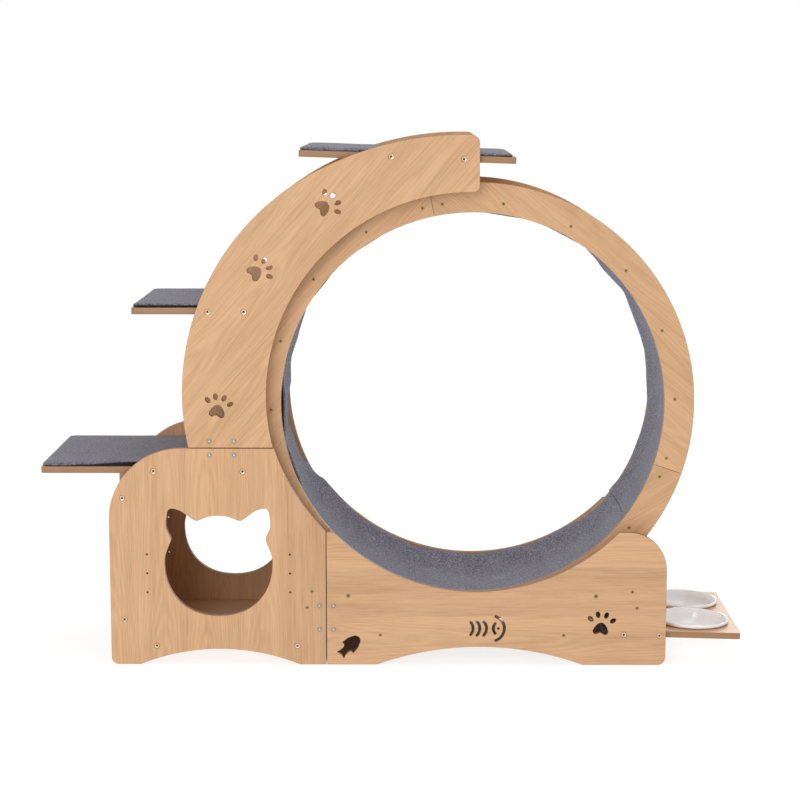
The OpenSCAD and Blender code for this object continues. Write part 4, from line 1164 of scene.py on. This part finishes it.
class CATWHEEL_OT_bowls(bpy.types.Operator):
    """Turn the two glazed bowls in their cut-outs"""

    bl_idname = "catwheel.bowls"
    bl_label = "Bowls"

    def execute(self, context):
        look = settings().bowl
        edge, crown, foot, drop, hollow = look.rim, look.rise, look.foot, look.drop, 0.0012
        arc = [math.radians(90 * i / 14) for i in range(15)]

        def curve(low_r, high_r, depth):
            """A quarter of an ellipse from the neck down to the floor."""
            return [(low_r + (high_r - low_r) * math.cos(a), -depth * math.sin(a)) for a in arc]

        floor = drop - look.wall
        profile = [(0.0, -drop + hollow), (foot - 0.006, -drop + hollow), (foot - 0.005, -drop)]
        profile += curve(foot, look.neck, drop)[::-1]
        # The rolled rim, from under its edge over the crown to the inside
        profile += [(edge - 0.0030, 0.0012), (edge - 0.0007, 0.0030), (edge, 0.0052)]
        profile += [(edge - 0.0003, crown - 0.0026), (edge - 0.0012, crown - 0.0009), (edge - 0.0026, crown)]
        profile += [(edge - 0.0041, crown - 0.0004), (edge - 0.0052, crown - 0.0018)]
        profile += curve(foot - look.wall, look.neck - look.wall, floor) + [(0.0, -floor)]
        tilt = math.atan2(BOWL_UP.x, BOWL_UP.z)
        for node in ("front_bowl", "back_bowl"):
            low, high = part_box(node)
            bm = lathed(profile, 96)
            bm.transform(Matrix.Rotation(tilt, 4, "Y"))
            ends = np.array([v.co for v in bm.verts])
            shift = (low + high) / 2 - Vector((ends.max(0) + ends.min(0)) / 2)
            bm.transform(Matrix.Translation(shift))
            mesh = into_mesh(bm, node + "_glazed", 50.0)
            show(mesh.name, mesh, made("white_glaze", ceramic), "ceramic", node)
        return {"FINISHED"}


def area_light(name, place, target, size, power):
    data = bpy.data.lights.new(name, "AREA")
    data.shape, data.size, data.size_y, data.energy = "RECTANGLE", size[0], size[1], power
    lamp = placed(name, data)
    lamp.location = place
    lamp.rotation_euler = (Vector(target) - Vector(place)).to_track_quat("-Z", "Y").to_euler()
    lamp.visible_camera = False


class CATWHEEL_OT_stage(bpy.types.Operator):
    """Set the floor, the lights and the camera"""

    bl_idname = "catwheel.stage"
    bl_label = "Stage"

    def execute(self, context):
        look, scene = settings().stage, context.scene
        bm = bmesh.new()
        bmesh.ops.create_grid(bm, x_segments=8, y_segments=8, size=9.0)
        for vert in bm.verts:
            vert.co.z = -0.0005
        floor = placed("floor", into_mesh(bm, "floor"))
        floor.data.materials.append(made("floor_paper", backdrop))
        world = bpy.data.worlds.new("studio")
        scene.world = world
        world.use_nodes = True
        sky, light = Tree(world.node_tree), world.node_tree.nodes["Background"]
        sky.put(light.inputs["Color"], (1.0, 1.0, 1.0))
        # The backdrop stays white to the eye, while the light that it sheds is set apart
        seen = sky.add("ShaderNodeLightPath").outputs["Is Camera Ray"]
        power = sky.out("ShaderNodeMapRange", Value=seen, To_Min=look.sky, To_Max=1.0)
        sky.put(light.inputs["Strength"], power)
        # Place, target, and size across and along
        area_light("key", (-1.5, -4.5, 2.0), (0.2, 0.0, 0.55), (2.4, 2.4), look.key)
        area_light("window", (1.62, 3.9, 1.6), (0.7, -0.09, 0.09), (0.25, 2.6), look.window)
        area_light("top", (0.6, -0.6, 3.6), (0.0, 0.0, 0.5), (3.2, 2.0), look.top)
        camera = placed("camera", bpy.data.cameras.new("camera"))
        camera.data.lens, camera.data.sensor_width = look.lens, 36.0
        camera.location = look.eye
        camera.rotation_euler = (math.pi / 2 - look.pitch, 0.0, look.yaw)
        scene.camera = camera
        scene.view_settings.view_transform = "Standard"
        return {"FINISHED"}


OPERATORS = (
    CATWHEEL_OT_stage,
    CATWHEEL_OT_panels,
    CATWHEEL_OT_boards,
    CATWHEEL_OT_rings,
    CATWHEEL_OT_track,
    CATWHEEL_OT_mat,
    CATWHEEL_OT_pads,
    CATWHEEL_OT_screws,
    CATWHEEL_OT_splices,
    CATWHEEL_OT_rollers,
    CATWHEEL_OT_bowls,
)


class CATWHEEL_PT_sidebar(bpy.types.Panel):
    """Buttons for the pieces of the cat exercise wheel"""

    bl_idname = "CATWHEEL_PT_sidebar"
    bl_label = "Cat exercise wheel"
    bl_space_type = "VIEW_3D"
    bl_region_type = "UI"
    bl_category = "Cat wheel"

    def draw(self, context):
        for operator in OPERATORS:
            self.layout.operator(operator.bl_idname)
        for name in ("wood", "track", "felt", "metal", "bowl", "stage"):
            box = self.layout.box()
            group = getattr(settings(), name)
            for field in group.bl_rna.properties:
                if field.identifier not in ("rna_type", "name"):
                    box.prop(group, field.identifier)


CLASSES = (
    WoodSettings,
    TrackSettings,
    FeltSettings,
    MetalSettings,
    BowlSettings,
    StageSettings,
    CatWheelSettings,
    *OPERATORS,
    CATWHEEL_PT_sidebar,
)


def register():
    for item in CLASSES:
        bpy.utils.register_class(item)
    bpy.types.Scene.cat_wheel = PointerProperty(type=CatWheelSettings)


def unregister():
    del bpy.types.Scene.cat_wheel
    for item in reversed(CLASSES):
        bpy.utils.unregister_class(item)


def main():
    register()
    for operator in OPERATORS:
        group, name = operator.bl_idname.split(".")
        getattr(getattr(bpy.ops, group), name)()


if __name__ == "__main__":
    main()
